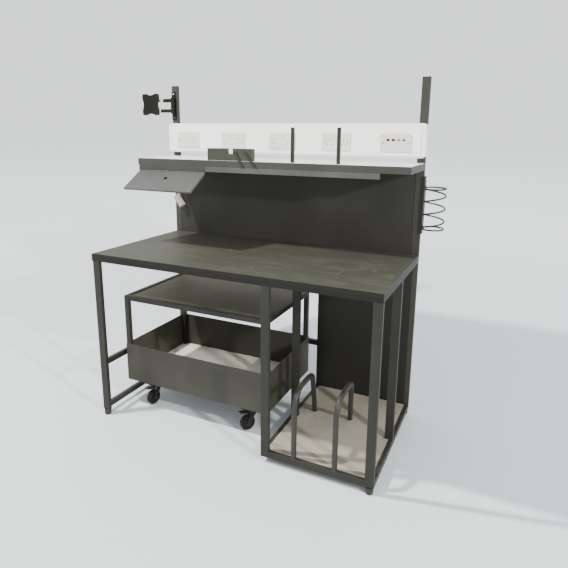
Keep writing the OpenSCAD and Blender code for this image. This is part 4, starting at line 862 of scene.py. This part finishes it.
# parts holder on the shelf: two folded bins, their link and two dark prongs over the shelf edge
holder = {"binWidth": 110.0, "gap": 40.0, "wall": 2.0, "linkRise": 33.0, "linkDepth": 14.0,
          "prongWidth": 14.0, "prongThick": 5.0, "prongFirst": 8.0, "prongStep": 54.0,
          "leans": (44.0, 64.0), "drop": 80.0}
holderLow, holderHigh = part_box("parts_holder")
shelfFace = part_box("overhead_shelf")[0].y
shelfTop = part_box("shelf_liner")[1].z


def addBin(bm, low, high, wall):
    outer = [(low.x, low.y), (high.x, low.y), (high.x, high.y), (low.x, high.y)]
    inner = [(low.x + wall, low.y + wall), (high.x - wall, low.y + wall), (high.x - wall, high.y - wall),
             (low.x + wall, high.y - wall)]
    levels = [(outer, low.z), (outer, high.z), (inner, high.z), (inner, low.z + wall)]
    addRod(bm, [[Vector((x, y, z)) for x, y in corners] for corners, z in levels])


bm = bmesh.new()
binWidth, prongWidth, prongThick = (holder[k] / 1000 for k in ("binWidth", "prongWidth", "prongThick"))
secondBin = holderLow.x + binWidth + holder["gap"] / 1000
for x in (holderLow.x, secondBin):
    addBin(bm, Vector((x, shelfFace, shelfTop)), Vector((x + binWidth, holderHigh.y, holderHigh.z)),
           holder["wall"] / 1000)
addBlock(bm, Vector((holderLow.x + binWidth, shelfFace, shelfTop)),
         Vector((secondBin, shelfFace + holder["linkDepth"] / 1000, shelfTop + holder["linkRise"] / 1000)))
top = holderHigh.z - prongWidth
tip = top - holder["drop"] / 1000
for number, lean in enumerate(holder["leans"]):
    left = secondBin + (holder["prongFirst"] + number * holder["prongStep"]) / 1000
    leant = left + lean / 1000
    spots = [(left, top), (left + prongWidth, top), (leant + prongWidth, tip), (leant, tip)]
    addPrism(bm, [Vector((x, shelfFace - prongThick, z)) for x, z in spots], Vector((0, prongThick, 0)), 1)
newPiece("partsHolderBins", bm, [sheetPaint, prongPaint], "bench", ["parts_holder"], edge=0.7)
print("parts holder made")

# flap: rolled edge round its hinge, and a plug in its hole whose near-black finish is painted shade for a
# dark hole
flapTrim = {"axisY": 390.0, "axisZ": 1296.0, "slope": 32.0, "left": 5.4, "right": 434.6, "rollOuter": 5.85,
            "rollInner": 5.25, "rollStart": 10.0, "rollEnd": 70.0, "rollSteps": 8, "coverStart": 62.0,
            "coverEnd": 124.0, "covers": ((66.5, 188.5), (251.5, 373.5)), "sheetHalf": 1.0, "sheetStart": 7.4,
            "plugX": 220.0, "plugAlong": 62.0, "plugSeat": 1.02,
            "plugTop": [(0, 10.2), (0.7, 10.2), (1.5, 9.3), (2.0, 5.4), (1.4, 4.6), (1.2, 2.0)],
            "plugStem": [(0, 6.6), (2.6, 6.4), (3.4, 5.6)]}


def onFlap(x, along, above):        # a place on the flap: along it from the pin, and above its middle
    turn = math.radians(flapTrim["slope"])
    y = -along * math.cos(turn) - above * math.sin(turn)
    z = -along * math.sin(turn) + above * math.cos(turn)
    return mm(x, flapTrim["axisY"] + y, flapTrim["axisZ"] + z)


def rollArc(start, end):        # outline of the rolled sheet round the pin, outer arc first
    steps = flapTrim["rollSteps"]
    turns = [math.radians(start + (end - start) * k / steps) for k in range(steps + 1)]
    arcs = ((flapTrim["rollOuter"], turns), (flapTrim["rollInner"], turns[::-1]))
    return [(radius * math.cos(a), radius * math.sin(a)) for radius, part in arcs for a in part]


def addRoll(bm, outline, left, right):
    corners = [onFlap(left, along, above) for along, above in outline]
    addPrism(bm, corners, Vector(((right - left) / 1000, 0, 0)))


half = flapTrim["sheetHalf"]
lip = [(flapTrim["sheetStart"], -half), (flapTrim["sheetStart"], half)]
lip = lip + rollArc(flapTrim["rollStart"], flapTrim["rollEnd"]) + [(flapTrim["rollInner"], -half)]
bm = bmesh.new()
addRoll(bm, lip, flapTrim["left"], flapTrim["right"])
for left, right in flapTrim["covers"]:        # further round between the fixed barrels
    addRoll(bm, rollArc(flapTrim["coverStart"], flapTrim["coverEnd"]), left, right)
newPiece("flapRolledEdge", bm, [greySheet], "flap")
bm = bmesh.new()
plugSpot = onFlap(flapTrim["plugX"], flapTrim["plugAlong"], flapTrim["plugSeat"])
plugWay = (onFlap(0, 0, 1) - onFlap(0, 0, 0)).normalized()
addKnob(bm, plugSpot, plugWay, flapTrim["plugTop"], 36)
addKnob(bm, plugSpot, -plugWay, flapTrim["plugStem"], 28)
newPiece("flapPlugPaintedShade", bm, [shadowed], "flap")

# domed black plug in the left end of the worktop's front edge
cornerPlug = {"y0": 1.0, "y1": 19.0, "z0": 858.0, "z1": 899.0, "start": 0.02, "out": 13.0, "round": 7.0,
              "steps": 6, "cut": 2.6}
bm = bmesh.new()
plugRings = []
for k in range(cornerPlug["steps"] + 1):
    a = math.pi / 2 * k / cornerPlug["steps"]
    out = cornerPlug["start"] - math.sin(a) * cornerPlug["out"]
    pull = (1 - math.cos(a)) * cornerPlug["round"]
    y0, y1 = cornerPlug["y0"] + pull, cornerPlug["y1"] - pull
    z0, z1 = cornerPlug["z0"] + pull, cornerPlug["z1"] - pull
    cut = cornerPlug["cut"]
    outline = [(y0 + cut, z0), (y1 - cut, z0), (y1, z0 + cut), (y1, z1 - cut), (y1 - cut, z1),
               (y0 + cut, z1), (y0, z1 - cut), (y0, z0 + cut)]
    plugRings.append([mm(out, y, z) for y, z in outline])
addRod(bm, plugRings)
newPiece("cornerPlug", bm, [blackMould], "bench", smoothAngle=50)
print("flap and corner trim made")

# weld beads at the frame joints, where the tubes' faces meet
beads = {"radius": 1.7, "sides": 8, "ripple": 0.24, "phase": 2.4, "endSize": 0.55, "spacing": 1.6, "inset": 1,
         "legWidth": 40, "tubeDepth": 20, "lowRail": (30, 60), "midRail": (280, 310), "ringFoot": 860,
         "posts": (962, 1460), "sidePostY": (348, 368), "trolleyTube": 25}


def addBead(bm, start, end):
    span = end - start
    count = max(4, int(span.length * 1000 / beads["spacing"]))

    def swell(k):
        size = beads["endSize"] if k in (0, count) else 1
        return (1 + beads["ripple"] * math.sin(k * beads["phase"])) * size

    path = [start + span * k / count for k in range(count + 1)]
    addRod(bm, sweptRings(path, beads["radius"], beads["sides"], swell))


bm = bmesh.new()
inset, deep, wide = beads["inset"], beads["tubeDepth"], beads["legWidth"]
lowFoot, lowTop = beads["lowRail"]
leftPost, rightPost = beads["posts"]
for z0, z1 in (beads["lowRail"], beads["midRail"]):        # left end rails on the front leg
    addBead(bm, mm(deep, deep, z0 + inset), mm(deep, deep, z1 - inset))
    addBead(bm, mm(2 * inset, deep, z1), mm(deep - 2 * inset, deep, z1))
for x in (leftPost + wide, rightPost):        # pedestal bottom rail between its posts
    addBead(bm, mm(x, inset, lowTop), mm(x, deep - inset, lowTop))
    addBead(bm, mm(x, deep, lowFoot + inset), mm(x, deep, lowTop - inset))
for x in (leftPost + deep, rightPost + deep):        # pedestal side rails on its posts
    addBead(bm, mm(x, deep, lowFoot + inset), mm(x, deep, lowTop - inset))
for x, reach in ((leftPost, deep - inset), (rightPost, wide - 2 * inset)):        # side posts on their rails
    for y in beads["sidePostY"]:
        addBead(bm, mm(x + 2 * inset, y, lowTop), mm(x + reach, y, lowTop))
for x in (wide, leftPost + wide, leftPost, rightPost):        # posts under the worktop ring
    addBead(bm, mm(x, inset, beads["ringFoot"]), mm(x, deep - inset, beads["ringFoot"]))
newPiece("frameWelds", bm, [paint], "bench")

bm = bmesh.new()
trolleyLow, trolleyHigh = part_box("trolley_frame")
tube, inset = beads["trolleyTube"] / 1000, beads["inset"] / 1000
ringZ = trolleyHigh.z - tube
frontY, backY = trolleyLow.y + tube, trolleyHigh.y - tube        # the inner faces of the ring's tubes
for x, inward in ((trolleyLow.x + tube, 1), (trolleyHigh.x - tube, -1)):
    for y, y0, y1 in ((frontY, trolleyLow.y, frontY), (backY, backY, trolleyHigh.y)):
        addBead(bm, Vector((x, y0 + inset, ringZ)), Vector((x, y1 - inset, ringZ)))
        addBead(bm, Vector((x - inward * (tube - inset), y, ringZ)), Vector((x - inward * inset, y, ringZ)))
newPiece("trolleyWelds", bm, [paint], "trolley")
print("welds made")

# floor, light and camera
studio = {"nearFloor": (206, 211, 214), "farFloor": (247, 249, 250), "floorSize": 240.0, "nearTo": 1.6,
          "farFrom": 7.5, "sky": (0.975, 1.0, 1.02), "skyStrength": 1.44}
lamps = {"ceilingLamp": {"spot": (-471.3, -403.5, 2545.0), "radius": 50.0, "power": 58,
                         "tone": (1.0, 0.985, 0.95)},
         "sideLamp": {"spot": (3700.0, -1150.0, 2100.0), "radius": 80.0, "power": 33,
                      "tone": (1.0, 0.99, 0.97)}}

mesh = bpy.data.meshes.new("studioFloor")
half = studio["floorSize"] / 2
mesh.from_pydata([(-half, -half, 0), (half, -half, 0), (half, half, 0), (-half, half, 0)], [], [(0, 1, 2, 3)])
floor = bpy.data.objects.new("studioFloor", mesh)
bpy.context.scene.collection.objects.link(floor)
floorFinish = Finish("paleFloor", {"Specular IOR Level": 0.1})
away = floorFinish.node("VectorMath", {"operation": "LENGTH"}, {0: floorFinish.where()}, out="Value")
floorTone = floorFinish.blend(away.step(studio["nearTo"], studio["farFrom"]), shade(*studio["nearFloor"]),
                              shade(*studio["farFloor"]))
mesh.materials.append(floorFinish.wear(floorTone, 0.8 + floorFinish.noise(0.8, 2) * 0.1))

world = bpy.data.worlds.new("studioAir")
world.use_nodes = True
sky = world.node_tree.nodes["Background"]
sky.inputs["Color"].default_value = studio["sky"] + (1.0,)
sky.inputs["Strength"].default_value = studio["skyStrength"]
bpy.context.scene.world = world


def addLamp(name, look):
    lamp = bpy.data.lights.new(name, "POINT")
    lamp.energy = look["power"]
    lamp.color = look["tone"]
    lamp.shadow_soft_size = look["radius"] / 1000
    lamp.use_nodes = True
    glow = lamp.node_tree.nodes["Emission"]
    even = lamp.node_tree.nodes.new("ShaderNodeLightFalloff")        # no weaker with distance
    even.inputs["Strength"].default_value = 1.0
    lamp.node_tree.links.new(even.outputs["Constant"], glow.inputs["Strength"])
    hung = bpy.data.objects.new(name, lamp)
    bpy.context.scene.collection.objects.link(hung)
    hung.location = mm(*look["spot"])


for name, look in lamps.items():
    addLamp(name, look)

# the camera: its place in mm, its angles in degrees, and the picture's focal length and centre in pixels
view = {"spot": (1933.662, -1884.445, 1503.552), "heading": 25.252, "down": 12.85, "roll": 0.431,
        "focal": 511.337, "frameWidth": 568.0, "centreX": 278.041, "centreY": 249.617, "sensor": 36.0,
        "reach": 400}
heading, down, roll = (math.radians(view[k]) for k in ("heading", "down", "roll"))
ahead = Vector((-math.sin(heading) * math.cos(down), math.cos(heading) * math.cos(down), -math.sin(down)))
level = Vector((math.cos(heading), math.sin(heading), 0))
above = level.cross(ahead)
right = level * math.cos(roll) + above * math.sin(roll)
top = above * math.cos(roll) - level * math.sin(roll)
lens = bpy.data.cameras.new("photoCamera")
lens.sensor_width = view["sensor"]
lens.lens = view["focal"] / view["frameWidth"] * view["sensor"]
lens.shift_x = (view["frameWidth"] / 2 - view["centreX"]) / view["frameWidth"]
lens.shift_y = (view["centreY"] - view["frameWidth"] / 2) / view["frameWidth"]
lens.clip_end = view["reach"]
camera = bpy.data.objects.new("photoCamera", lens)
bpy.context.scene.collection.objects.link(camera)
turned = Matrix((right, top, -ahead)).transposed().to_4x4()
turned.translation = mm(*view["spot"])
camera.matrix_world = turned
bpy.context.scene.camera = camera
print("studio ready")
